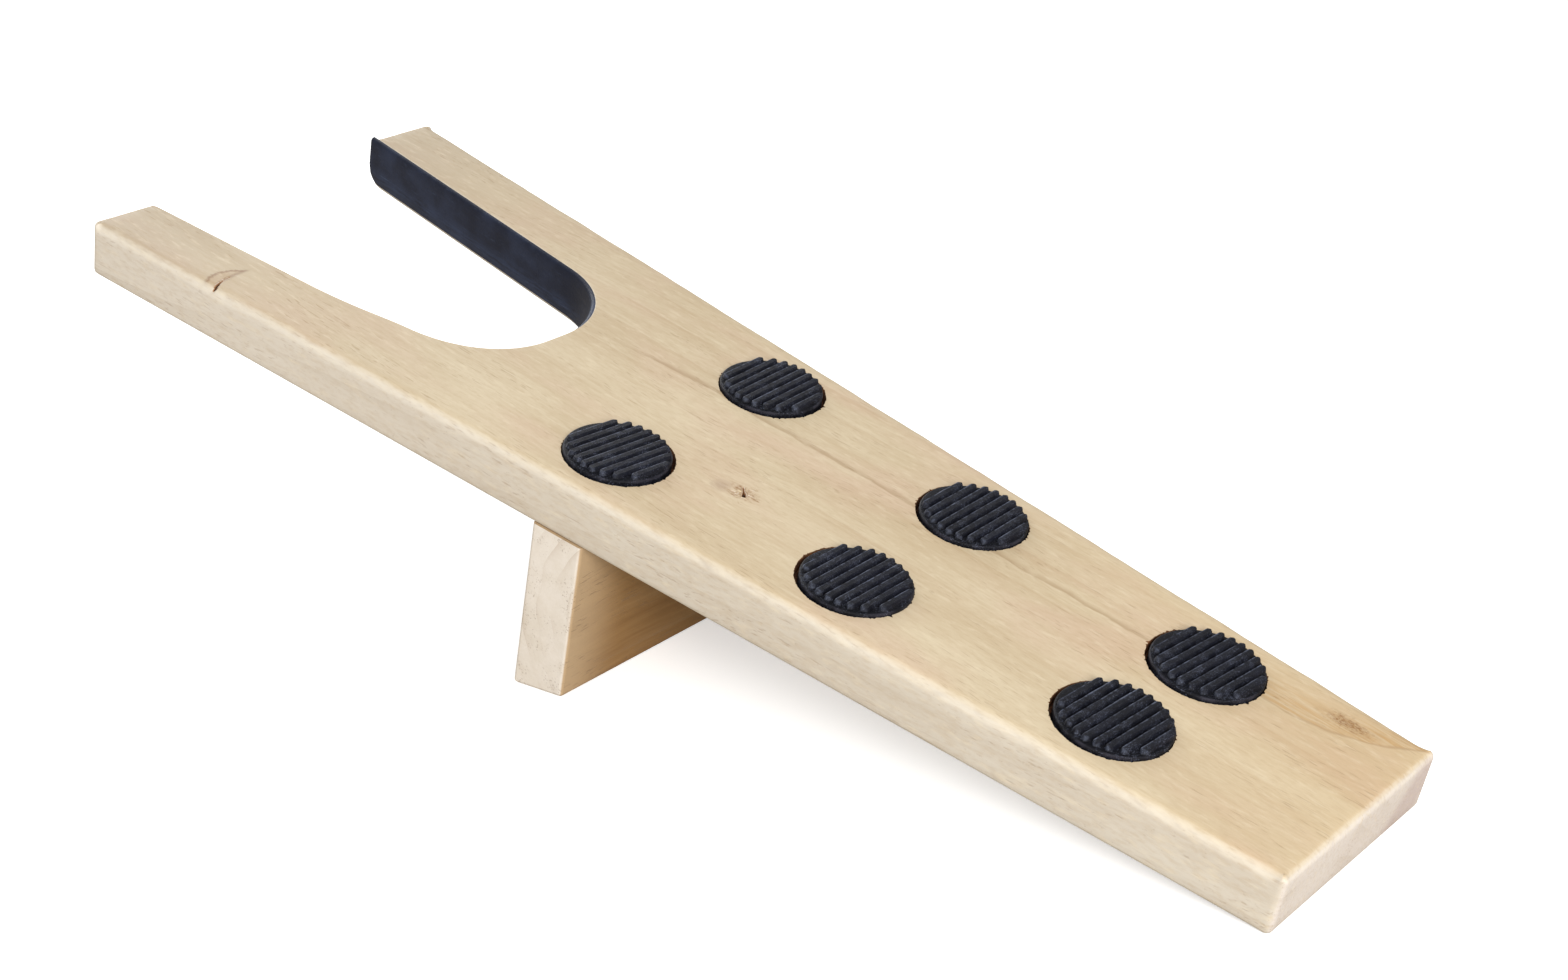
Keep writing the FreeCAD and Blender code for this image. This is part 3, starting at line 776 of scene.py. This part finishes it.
scorch_light = paint(128, 80, 46)
scorch_dark = paint(60, 36, 22)
recess_rim_brown = paint(140, 100, 64)
def make_drilled_wood():
    """The recess walls, scorched by the drill."""
    material, tree, shader = start_material("scorched drilling")
    place = place_in(tree, lie_flat)
    figure = grow(tree, timber_figure, Place=place, Pith=(0, 24, -50), Ring_Width=7.5, Pore_Crowding=0.9)
    depth = put(tree, "SeparateXYZ", Vector=place).outputs["Z"]
    scorch = rise(tree, cloud(tree, place, (0.5, 0.5, 1.4), detail=4, roughness=0.65), 0.3, 0.65)
    colour = tint(tree, scorch, scorch_light, scorch_dark)
    colour = stain(tree, colour, recess_rim_brown, rise(tree, depth, -0.5, 0), 0.5)
    colour = stain(tree, colour, crack_brown, figure["Pores"], 0.6)
    tree.links.new(colour, shader.inputs["Base Color"])
    tree.links.new(scaled(tree, figure["Fibre"], 0.2, 0.62), shader.inputs["Roughness"])
    bump = put(tree, "Bump", Strength=0.6, Distance=0.0002, Height=figure["Height"])
    tree.links.new(bump.outputs[0], shader.inputs["Normal"])
    shader.inputs["Specular IOR Level"].default_value = 0.3
    return material


plank.data.materials.append(make_planed_wood())
plank.data.materials.append(make_drilled_wood())
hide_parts("board")
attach(plank, "root")


# ---- Leg ----
# An offcut of the same stock set across the plank, its grain running from side to side, its foot sawn to
# the slope. Two screws driven from under the upper pads hold it against the underside.

leg = nodes["leg"]
across_grain = Matrix.Rotation(math.radians(90), 4, "Z") @ lie_flat


leg_face_shaded_pale = paint(158, 124, 80)
leg_face_shaded_deep = paint(124, 90, 52)
leg_face_lit_ends = paint(190, 166, 134)
leg_end_light = paint(218, 210, 200)
leg_end_dark = paint(203, 193, 178)
leg_ring_brown = paint(150, 124, 94)
leg_speck_brown = paint(120, 98, 76)
def make_leg_wood():
    """The leg: broad faces painted darker than the plank as painted shade under it, lighter towards the leg's
    ends as painted light, and pale end grain.
    """
    material, tree, shader = start_material("leg hardwood")
    place = place_in(tree, across_grain)
    figure = grow(tree, timber_figure, Place=place, Pith=(0, 150, -34), Ring_Width=4.5, Pore_Crowding=0.6)
    streak = scaled(tree, figure["Fibre"], 0.8, sums(tree, "MULTIPLY", figure["Drift"], 0.7))
    # Painted shade: the leg's broad faces are painted dark brown, as if shadowed by the plank above.
    face = tint(tree, rise(tree, streak, 0.4, 1.15), leg_face_shaded_pale, leg_face_shaded_deep)
    from_left = put(tree, "SeparateXYZ", Vector=place).outputs["X"]
    # Painted light: the broad faces are painted paler towards the leg's two ends, where light reaches under
    # the plank.
    lit_ends = sums(tree, "MULTIPLY", rise(tree, sums(tree, "ABSOLUTE", from_left), 26, 46), 0.7)
    face = tint(tree, lit_ends, face, leg_face_lit_ends)
    end = tint(tree, rise(tree, streak, 0.4, 1.15), leg_end_light, leg_end_dark)
    endness = rise(tree, sums(tree, "ABSOLUTE", facing(tree, (0, 1, 0))), 0.55, 0.9)
    colour = tint(tree, endness, face, end)
    colour = stain(tree, colour, leg_ring_brown, figure["Rings"], 0.3)
    specks = sums(tree, "MULTIPLY", figure["Pores"], 0.4)
    colour = tint(tree, specks, colour, leg_speck_brown)
    tree.links.new(colour, shader.inputs["Base Color"])
    tree.links.new(scaled(tree, figure["Fibre"], 0.2, 0.5), shader.inputs["Roughness"])
    bump = put(tree, "Bump", Strength=0.4, Distance=0.00015, Height=figure["Height"])
    tree.links.new(bump.outputs[0], shader.inputs["Normal"])
    shader.inputs["Specular IOR Level"].default_value = 0.3
    return material


leg.data.materials.clear()
leg.data.materials.append(make_leg_wood())


# ---- Leg screws ----
# Two countersunk wood screws of zinc-plated steel, sunk flush in the floor of the upper recesses.
# Their pads hide them once the jack is put together.

zinc_light = paint(196, 194, 186)
zinc_dark = paint(168, 170, 172)
def make_plated_steel():
    """Dull zinc plating, patchy and finely scratched."""
    material, tree, shader = start_material("plated screw steel")
    place = place_in(tree, lie_flat)
    plating = cloud(tree, place, (1.2, 1.2, 1.2), detail=4, roughness=0.6)
    scratches = cloud(tree, place, (9, 9, 0.6), detail=2)
    colour = tint(tree, plating, zinc_light, zinc_dark)
    tree.links.new(colour, shader.inputs["Base Color"])
    tree.links.new(scaled(tree, plating, 0.2, 0.22), shader.inputs["Roughness"])
    bump = put(tree, "Bump", Strength=0.3, Distance=0.00005, Height=scratches)
    tree.links.new(bump.outputs[0], shader.inputs["Normal"])
    shader.inputs["Metallic"].default_value = 1
    return material


plated_steel = make_plated_steel()
for side in side_sign:
    screw = nodes[f"leg_screw_{side}"]
    screw.data.materials.clear()
    screw.data.materials.append(plated_steel)


# ---- Notch liner ----
# One strip of soft black-blue rubber, cut from sheet and glued round the notch with its upper edge just
# below the plank's top, so that the heel of the boot isn't scratched.

def make_rubber_wear():
    """What use does to dark rubber: dust in its pores and a pale bloom that comes to the surface, with a
    lumpy surface height for bumps.
    """
    group, given, made = start_group(
        "rubber wear",
        [
            ("Place", "vector", (0, 0, 0)),
            ("Grain Size", "number", 0.35),
            ("Dust", "number", 0.5),
        ],
        [("Dust", "number"), ("Bloom", "number"), ("Height", "number")],
    )
    finer = sums(group, "DIVIDE", 1, given["Grain Size"])
    place = put(group, "VectorMath", {"operation": "SCALE"}, Vector=given["Place"], Scale=finer).outputs[0]
    pebbles = put(group, "TexNoise", Vector=place, Scale=1, Detail=3, Roughness=0.65).outputs[0]
    cells = put(group, "TexVoronoi", Vector=place, Scale=0.8).outputs["Distance"]
    lumps = sums(group, "MULTIPLY", sums(group, "SUBTRACT", pebbles, 0.5), 2.2)
    patches = cloud(group, given["Place"], (0.35, 0.35, 0.35), detail=3)
    limit = sums(group, "SUBTRACT", 0.72, sums(group, "MULTIPLY", given["Dust"], 0.22))
    level = sums(group, "ADD", pebbles, sums(group, "MULTIPLY", sums(group, "SUBTRACT", patches, 0.5), 0.35))
    over = sums(group, "MULTIPLY", sums(group, "SUBTRACT", level, limit), 7)
    dust = put(group, "Clamp", Value=over).outputs[0]
    bloom = rise(group, cloud(group, given["Place"], (0.08, 0.08, 0.08), detail=4, roughness=0.6), 0.4, 0.75)
    height = sums(group, "ADD", lumps, sums(group, "MULTIPLY", cells, 0.5))
    for label, value in (("Dust", dust), ("Bloom", bloom), ("Height", height)):
        group.links.new(value, made[label])
    return group


rubber_wear = make_rubber_wear()


liner_black = paint(24, 28, 42)
liner_bloom = paint(38, 45, 64)
liner_lower_scuff_and_sheen = paint(60, 70, 94)
liner_scuff = paint(76, 88, 110)
liner_bottom_scuff_and_sheen = paint(84, 96, 122)
liner_dust = paint(84, 92, 108)
def make_liner_rubber():
    """Black-blue rubber, painted paler on its lower part and most at the notch's bottom, partly scuffs and
    partly a painted sheen.
    """
    material, tree, shader = start_material("liner rubber")
    place = place_in(tree, lie_flat)
    wear = grow(tree, rubber_wear, Place=place, Grain_Size=0.6, Dust=0.25)
    scuffs = cloud(tree, place, (0.12, 0.5, 1.6), detail=4, roughness=0.7)
    colour = tint(tree, wear["Bloom"], liner_black, liner_bloom)
    height = put(tree, "SeparateXYZ", Vector=place).outputs["Z"]
    # Painted sheen, partly scuffs: the strip is painted paler along its lower part.
    lower_scuff_and_sheen = sums(tree, "MULTIPLY", rise(tree, height, -7, -11), rise(tree, scuffs, 0.35, 0.6))
    colour = stain(tree, colour, liner_lower_scuff_and_sheen, lower_scuff_and_sheen, 0.35)
    colour = stain(tree, colour, liner_scuff, rise(tree, scuffs, 0.6, 0.75), 0.4)
    # Painted sheen, partly scuffs: the strip is painted paler at the notch's bottom.
    at_bottom = rise(tree, put(tree, "SeparateXYZ", Vector=place).outputs["X"], 252, 238)
    rubbed_and_lit = sums(tree, "MULTIPLY", at_bottom, rise(tree, scuffs, 0.3, 0.6))
    colour = stain(tree, colour, liner_bottom_scuff_and_sheen, rubbed_and_lit, 0.45)
    colour = stain(tree, colour, liner_dust, wear["Dust"], 0.2)
    tree.links.new(colour, shader.inputs["Base Color"])
    roughness = scaled(tree, scuffs, 0.3, 0.34)
    tree.links.new(roughness, shader.inputs["Roughness"])
    bump = put(tree, "Bump", Strength=0.25, Distance=0.00008, Height=wear["Height"])
    tree.links.new(bump.outputs[0], shader.inputs["Normal"])
    shader.inputs["Specular IOR Level"].default_value = 0.16
    return material


liner_thickness = 1.2 * mm
liner_lip = 0.9 * mm
liner_foot = 0.3 * mm
liner_tip = 5 * mm
liner_low_edge = 1.4 * mm - board_thickness
liner_past_left_tip = 0.4 * mm
liner_past_right_tip = 1.5 * mm


def liner_top(y):
    """How high the strip was glued: nearly flush on the right, and lower from the bottom leftwards."""
    return (-0.9 + 0.78 * soft_step((-6 * mm - y) / (18 * mm))) * mm


def soft_step(share):
    """0 below 0 and 1 above 1, with a soft step between them."""
    share = min(1, max(0, share))
    return share * share * (3 - 2 * share)


def liner_section(top, bottom):
    """The strip's section: how far each point is from the wood, and how high."""
    inner = liner_thickness
    section = [(0, top)]
    for turn in (0, 30, 60, 90):
        away, down = math.sin(math.radians(turn)), 1 - math.cos(math.radians(turn))
        section.append((inner - liner_lip * (1 - away), top - liner_lip * down))
    for share in (0.2, 0.4, 0.6, 0.8):
        section.append((inner, (top - liner_lip) * (1 - share) + (bottom + liner_foot) * share))
    for turn in (0, 45, 90):
        away, up = math.cos(math.radians(turn)), 1 - math.sin(math.radians(turn))
        section.append((inner - liner_foot * (1 - away), bottom + liner_foot * up))
    return section + [(0, bottom)]


def make_liner():
    """The strip, swept round the notch from its left end to its right end."""
    step = 0.7 * mm
    left = [sawn_short(p) for p in notch_side(liner_past_left_tip, step)]
    right = [across(p) for p in notch_side(liner_past_right_tip, step)]
    run = list(reversed(left)) + right[1:]
    lengths = [0]
    for p, q in zip(run, run[1:]):
        lengths.append(lengths[-1] + (q - p).length)
    shape = bmesh.new()
    sections = []
    for i, p in enumerate(run):
        way = (run[min(i + 1, len(run) - 1)] - run[max(i - 1, 0)]).normalized()
        inward_way = Vector((-way.y, way.x))
        from_end = min(liner_tip, lengths[i], lengths[-1] - lengths[i])
        curl = liner_tip - math.sqrt(liner_tip ** 2 - (liner_tip - from_end) ** 2)
        section = []
        for away, z in liner_section(liner_top(p.y), liner_low_edge + curl):
            spot = p + inward_way * away
            section.append(shape.verts.new((spot.x, spot.y, z)))
        sections.append(section)
    for section, next_section in zip(sections, sections[1:]):
        for i in range(len(section)):
            after = (i + 1) % len(section)
            shape.faces.new((section[i], section[after], next_section[after], next_section[i]))
    shape.faces.new(sections[0])
    shape.faces.new(list(reversed(sections[-1])))
    bmesh.ops.recalc_face_normals(shape, faces=shape.faces)
    mesh = bpy.data.meshes.new("heel_strip")
    shape.to_mesh(mesh)
    shape.free()
    mesh.shade_smooth()
    mesh.set_sharp_from_angle(angle=math.radians(50))
    mesh.transform(stand_up)
    piece = bpy.data.objects.new("heel_strip", mesh)
    bpy.context.scene.collection.objects.link(piece)
    return piece


heel_strip = make_liner()
heel_strip.data.materials.append(make_liner_rubber())
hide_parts("notch_liner")
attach(heel_strip, "root")


# ---- Tread pads ----
# Six discs of moulded black rubber with nine rounded ribs each, glued into the recesses by hand, so that
# every one is turned and off centre by its own small amount. Feet have left dust; the pale lines on the
# crests are partly wear and partly painted highlight, and the grooves carry painted shade.

pad_radius = 13.2 * mm
pad_thickness = 3.9 * mm
pad_rim = 0.5 * mm
rib_count = 9
rib_pitch = 2.6 * mm
rib_base = 2.3 * mm
rib_crest = 1.5 * mm
rib_height = 1 * mm
rib_inset = {"left": 0.9 * mm, "right": 0.3 * mm}
rib_shift = -0.6 * mm
# How each pad sits in its recess: its turn in degrees, and its slip towards the fork.
pad_seats = {
    "left_upper": (-5, 0.4 * mm),
    "left_middle": (0, -0.6 * mm),
    "left_lower": (-3, -0.4 * mm),
    "right_upper": (2, 0.4 * mm),
    "right_middle": (1, -0.3 * mm),
    "right_lower": (-4.5, -0.3 * mm),
}


def rib_reach(number, y):
    """How far a rib runs to its own side of the pad; on the right the ribs run out to the rim."""
    radius = pad_radius - rib_inset["left" if y > 0 else "right"]
    return math.sqrt(max(0, radius ** 2 - (rib_shift + number * rib_pitch) ** 2))


def rib_share(x, y, seed):
    """How far a place on a pad rises onto a rib, from 0 between the ribs to 1 on a crest."""
    number = round((x - rib_shift) / rib_pitch)
    if abs(number) > rib_count // 2:
        return 0
    wander = 0.07 * mm * noise.noise(Vector((number * 3.7, y * 160, seed)))
    off = abs(x - rib_shift - number * rib_pitch - wander)
    narrow = 1 + 0.08 * noise.noise(Vector((number * 5.1, y * 320, seed + 2)))
    flank = (rib_base * narrow / 2 - off) / ((rib_base - rib_crest) / 2)
    uneven = 0.25 * mm * noise.noise(Vector((number * 9.3, y * 40, seed + 5)))
    reach = rib_reach(number, y) - abs(y) - uneven
    bar_end = (reach - max(0, off - 0.2 * mm)) / (0.3 * mm)
    return soft_step(flank) * soft_step(bar_end)


def rib_wear_and_highlight_share(x, y, seed):
    """Where a rib is painted pale, partly from the rubbing of feet and partly as a painted highlight: a line
    along its fork-side edge, and its left end.
    """
    rib = rib_share(x, y, seed)
    number = round((x - rib_shift) / rib_pitch)
    off = x - rib_shift - number * rib_pitch
    line = math.exp(-(((off - 0.72 * mm) / (0.16 * mm)) ** 2))
    left_end = y - rib_reach(number, y)
    tip = math.exp(-(((left_end + 0.4 * mm) / (0.5 * mm)) ** 2)) if y > 0 and rib > 0.05 else 0
    rubbed_and_lit = 0.75 + 0.5 * noise.noise(Vector((x * 500, y * 90, seed)))
    return min(1, max(line * soft_step(rib * 2), 0.3 * tip)) * rubbed_and_lit if rib > 0.02 else 0


def pad_height(x, y, seed):
    """The pad's surface above its seat, without its ribs: flat, with a rounded rim."""
    gap = pad_radius - math.hypot(x, y)
    drop = 0
    if gap < pad_rim:
        drop = pad_rim - math.sqrt(max(0, pad_rim ** 2 - (pad_rim - gap) ** 2))
    return pad_thickness - drop


def make_pad(name, seed):
    """One pad, about its seat: x towards the fork, z up from the recess's floor."""
    shape = bmesh.new()
    crest_layer = shape.verts.layers.float.new("crest")
    rim_layer = shape.verts.layers.float.new("rim")
    rib_wear_and_highlight_layer = shape.verts.layers.float.new("rib_wear_and_highlight")
    first = rib_shift - (rib_count // 2 + 0.5) * rib_pitch
    stations = [first + rib_pitch * i / 13 for i in range(rib_count * 13 + 1)]
    low = [-pad_radius + (first + pad_radius) * (1 - math.cos(math.radians(a))) for a in range(6, 90, 9)]
    high_start = stations[-1]
    high = [high_start + (pad_radius - high_start) * math.sin(math.radians(a)) for a in range(7, 87, 8)]
    stations = [x for x in low + stations + high if abs(x) < pad_radius - 0.02 * mm]
    swing = [math.radians(-90 + 180 * i / 72) for i in range(73)]
    columns = []
    for x in stations:
        half = math.sqrt(pad_radius ** 2 - x ** 2)
        column = []
        for angle in swing:
            y = half * math.sin(angle)
            rib = rib_share(x, y, seed)
            grit = 0.02 * mm * noise.noise(Vector((x * 1500, y * 1500, seed)))
            vert = shape.verts.new((x, y, pad_height(x, y, seed) + rib_height * rib + grit * rib))
            vert[crest_layer] = rib
            vert[rib_wear_and_highlight_layer] = rib_wear_and_highlight_share(x, y, seed)
            vert[rim_layer] = max(0, 1 - (pad_radius - math.hypot(x, y)) / (1.1 * mm))
            column.append(vert)
        columns.append(column)
    for column, next_column in zip(columns, columns[1:]):
        for i in range(len(column) - 1):
            shape.faces.new((column[i], next_column[i], next_column[i + 1], column[i + 1]))
    brim = [column[0] for column in columns] + columns[-1][1:]
    brim += [column[-1] for column in reversed(columns[:-1])] + columns[0][-2:0:-1]
    above = brim
    for height in (0.75, 0.5, 0.25, 0):
        ring = []
        for vert in brim:
            out = vert.co.to_2d().normalized() * pad_radius
            low_vert = shape.verts.new((out.x, out.y, height * (pad_thickness - pad_rim)))
            low_vert[rim_layer] = 0
            ring.append(low_vert)
        for i in range(len(brim)):
            after = (i + 1) % len(brim)
            shape.faces.new((above[after], above[i], ring[i], ring[after]))
        above = ring
    shape.faces.new(list(reversed(above)))
    bmesh.ops.recalc_face_normals(shape, faces=shape.faces)
    mesh = bpy.data.meshes.new(name)
    shape.to_mesh(mesh)
    shape.free()
    mesh.shade_smooth()
    mesh.set_sharp_from_angle(angle=math.radians(60))
    return mesh


pad_black = paint(12, 13, 21)
pad_bloom = paint(20, 22, 33)
groove_shade_black = paint(6, 6, 9)
pale_crest_and_highlight = paint(122, 130, 152)
pad_dust = paint(112, 118, 138)
pad_rim_grey = paint(70, 68, 80)
def make_pad_rubber():
    """Matt black rubber with painted shade between the ribs, dusty pores, and pale rib lines that are partly
    wear and partly painted highlight.
    """
    material, tree, shader = start_material("tread rubber")
    place = place_in(tree, lie_flat)
    wear = grow(tree, rubber_wear, Place=place, Grain_Size=0.26, Dust=0.7)
    crest = put(tree, "Attribute", {"attribute_name": "crest"}).outputs["Fac"]
    rim = put(tree, "Attribute", {"attribute_name": "rim"}).outputs["Fac"]
    colour = tint(tree, wear["Bloom"], pad_black, pad_bloom)
    # Painted shade: the grooves between the ribs are painted darker.
    groove_shade = rise(tree, crest, 0.6, 0)
    colour = stain(tree, colour, groove_shade_black, groove_shade, 0.6)
    # Partly wear, partly painted highlight: pale lines along the ribs' fork-side edges and at their left
    # ends.
    rib_wear_and_highlight = put(tree, "Attribute", {"attribute_name": "rib_wear_and_highlight"}).outputs["Fac"]
    patchy = rise(tree, cloud(tree, place, (0.7, 0.7, 0.7), detail=3), 0.32, 0.62)
    rib_wear_and_highlight = sums(tree, "MULTIPLY", rib_wear_and_highlight, patchy)
    colour = stain(tree, colour, pale_crest_and_highlight, rib_wear_and_highlight, 0.8)
    colour = stain(tree, colour, pad_dust, wear["Dust"], 0.45)
    at_rim = rise(tree, rim, 0.55, 0.85)
    scuff_patches = rise(tree, cloud(tree, place, (0.2, 0.2, 0.2)), 0.4, 0.7)
    scuffed_rim = sums(tree, "MULTIPLY", at_rim, scuff_patches)
    colour = stain(tree, colour, pad_rim_grey, scuffed_rim, 0.3)
    tree.links.new(colour, shader.inputs["Base Color"])
    roughness = scaled(tree, wear["Dust"], 0.2, 0.5)
    tree.links.new(roughness, shader.inputs["Roughness"])
    bump = put(tree, "Bump", Strength=0.55, Distance=0.00012, Height=wear["Height"])
    tree.links.new(bump.outputs[0], shader.inputs["Normal"])
    shader.inputs["Specular IOR Level"].default_value = 0.14
    return material


tread_rubber = make_pad_rubber()
for number, (seat, (turn, slip)) in enumerate(pad_seats.items()):
    side, row = seat.split("_")
    centre = recess_centre(row, side)
    mesh = make_pad(f"ribbed_pad_{seat}", 17.3 * number)
    seat_place = Matrix.Translation((centre.x + slip, centre.y, -recess_depth))
    mesh.transform(stand_up @ seat_place @ Matrix.Rotation(math.radians(turn), 4, "Z"))
    mesh.materials.append(tread_rubber)
    pad = bpy.data.objects.new(f"ribbed_pad_{seat}", mesh)
    bpy.context.scene.collection.objects.link(pad)
    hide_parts(f"tread_pad_{seat}")
    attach(pad, "root")


# ---- Studio ----
# A pale seamless floor, one broad soft lamp from the front left, a weaker one from behind the fork that
# picks out the rubber's edges, and an even white surround.

paper_light = paint(252, 252, 252)
paper_dark = paint(249, 249, 248)
paper_return = paint(198, 190, 178)
def make_floor():
    """A broad flat sheet of white studio paper."""
    sheet = bmesh.new()
    bmesh.ops.create_grid(sheet, x_segments=8, y_segments=8, size=4)
    mesh = bpy.data.meshes.new("studio_floor")
    sheet.to_mesh(mesh)
    sheet.free()
    material, tree, shader = start_material("studio paper")
    place = place_in(tree, Matrix.Identity(4))
    fibres = cloud(tree, place, (0.4, 0.4, 0.4), detail=3)
    tree.links.new(tint(tree, fibres, paper_light, paper_dark), shader.inputs["Base Color"])
    shader.inputs["Roughness"].default_value = 0.9
    shader.inputs["Specular IOR Level"].default_value = 0
    shader.inputs["Emission Color"].default_value = (1, 1, 1, 1)
    shader.inputs["Emission Strength"].default_value = 0.42
    # Paper this white would light the underside too strongly, so it gives back less light than it shows.
    dull = put(tree, "BsdfDiffuse", Color=paper_return)
    seen = put(tree, "LightPath").outputs["Is Camera Ray"]
    either = put(tree, "MixShader", Fac=seen)
    tree.links.new(dull.outputs[0], either.inputs[1])
    tree.links.new(shader.outputs[0], either.inputs[2])
    tree.links.new(either.outputs[0], tree.nodes["Material Output"].inputs["Surface"])
    mesh.materials.append(material)
    floor = bpy.data.objects.new("studio_floor", mesh)
    bpy.context.scene.collection.objects.link(floor)
    return floor


def add_lamp(name, place, aim, size, power):
    """A square soft lamp that points at a spot."""
    lamp = bpy.data.lights.new(name, "AREA")
    lamp.shape = "SQUARE"
    lamp.size = size
    lamp.energy = power
    holder = bpy.data.objects.new(name, lamp)
    holder.location = place
    holder.rotation_euler = (Vector(aim) - Vector(place)).to_track_quat("-Z", "Y").to_euler()
    bpy.context.scene.collection.objects.link(holder)


floor = make_floor()
middle = (cad_box[0] + cad_box[1]) / 2
add_lamp("key", (1.1, -0.8, 0.62), middle, size=0.7, power=23)
add_lamp("rim", (-1.0, 0.5, 0.6), middle, size=0.7, power=7)

surround = bpy.data.worlds.new("studio")
surround.use_nodes = True
surround.node_tree.nodes["Background"].inputs["Color"].default_value = (1, 1, 1, 1)
surround.node_tree.nodes["Background"].inputs["Strength"].default_value = 0.64
bpy.context.scene.world = surround
bpy.context.scene.view_settings.view_transform = "Standard"

lens = bpy.data.cameras.new("camera")
lens.lens = 56.13
lens.sensor_width = 36
lens.shift_x = 0.0249
lens.shift_y = -0.0228
camera = bpy.data.objects.new("camera", lens)
camera.location = (0.3915, -0.4092, 0.279)
camera.rotation_euler = (math.radians(67.58), math.radians(1.9), math.radians(40.73))
bpy.context.scene.collection.objects.link(camera)
bpy.context.scene.camera = camera
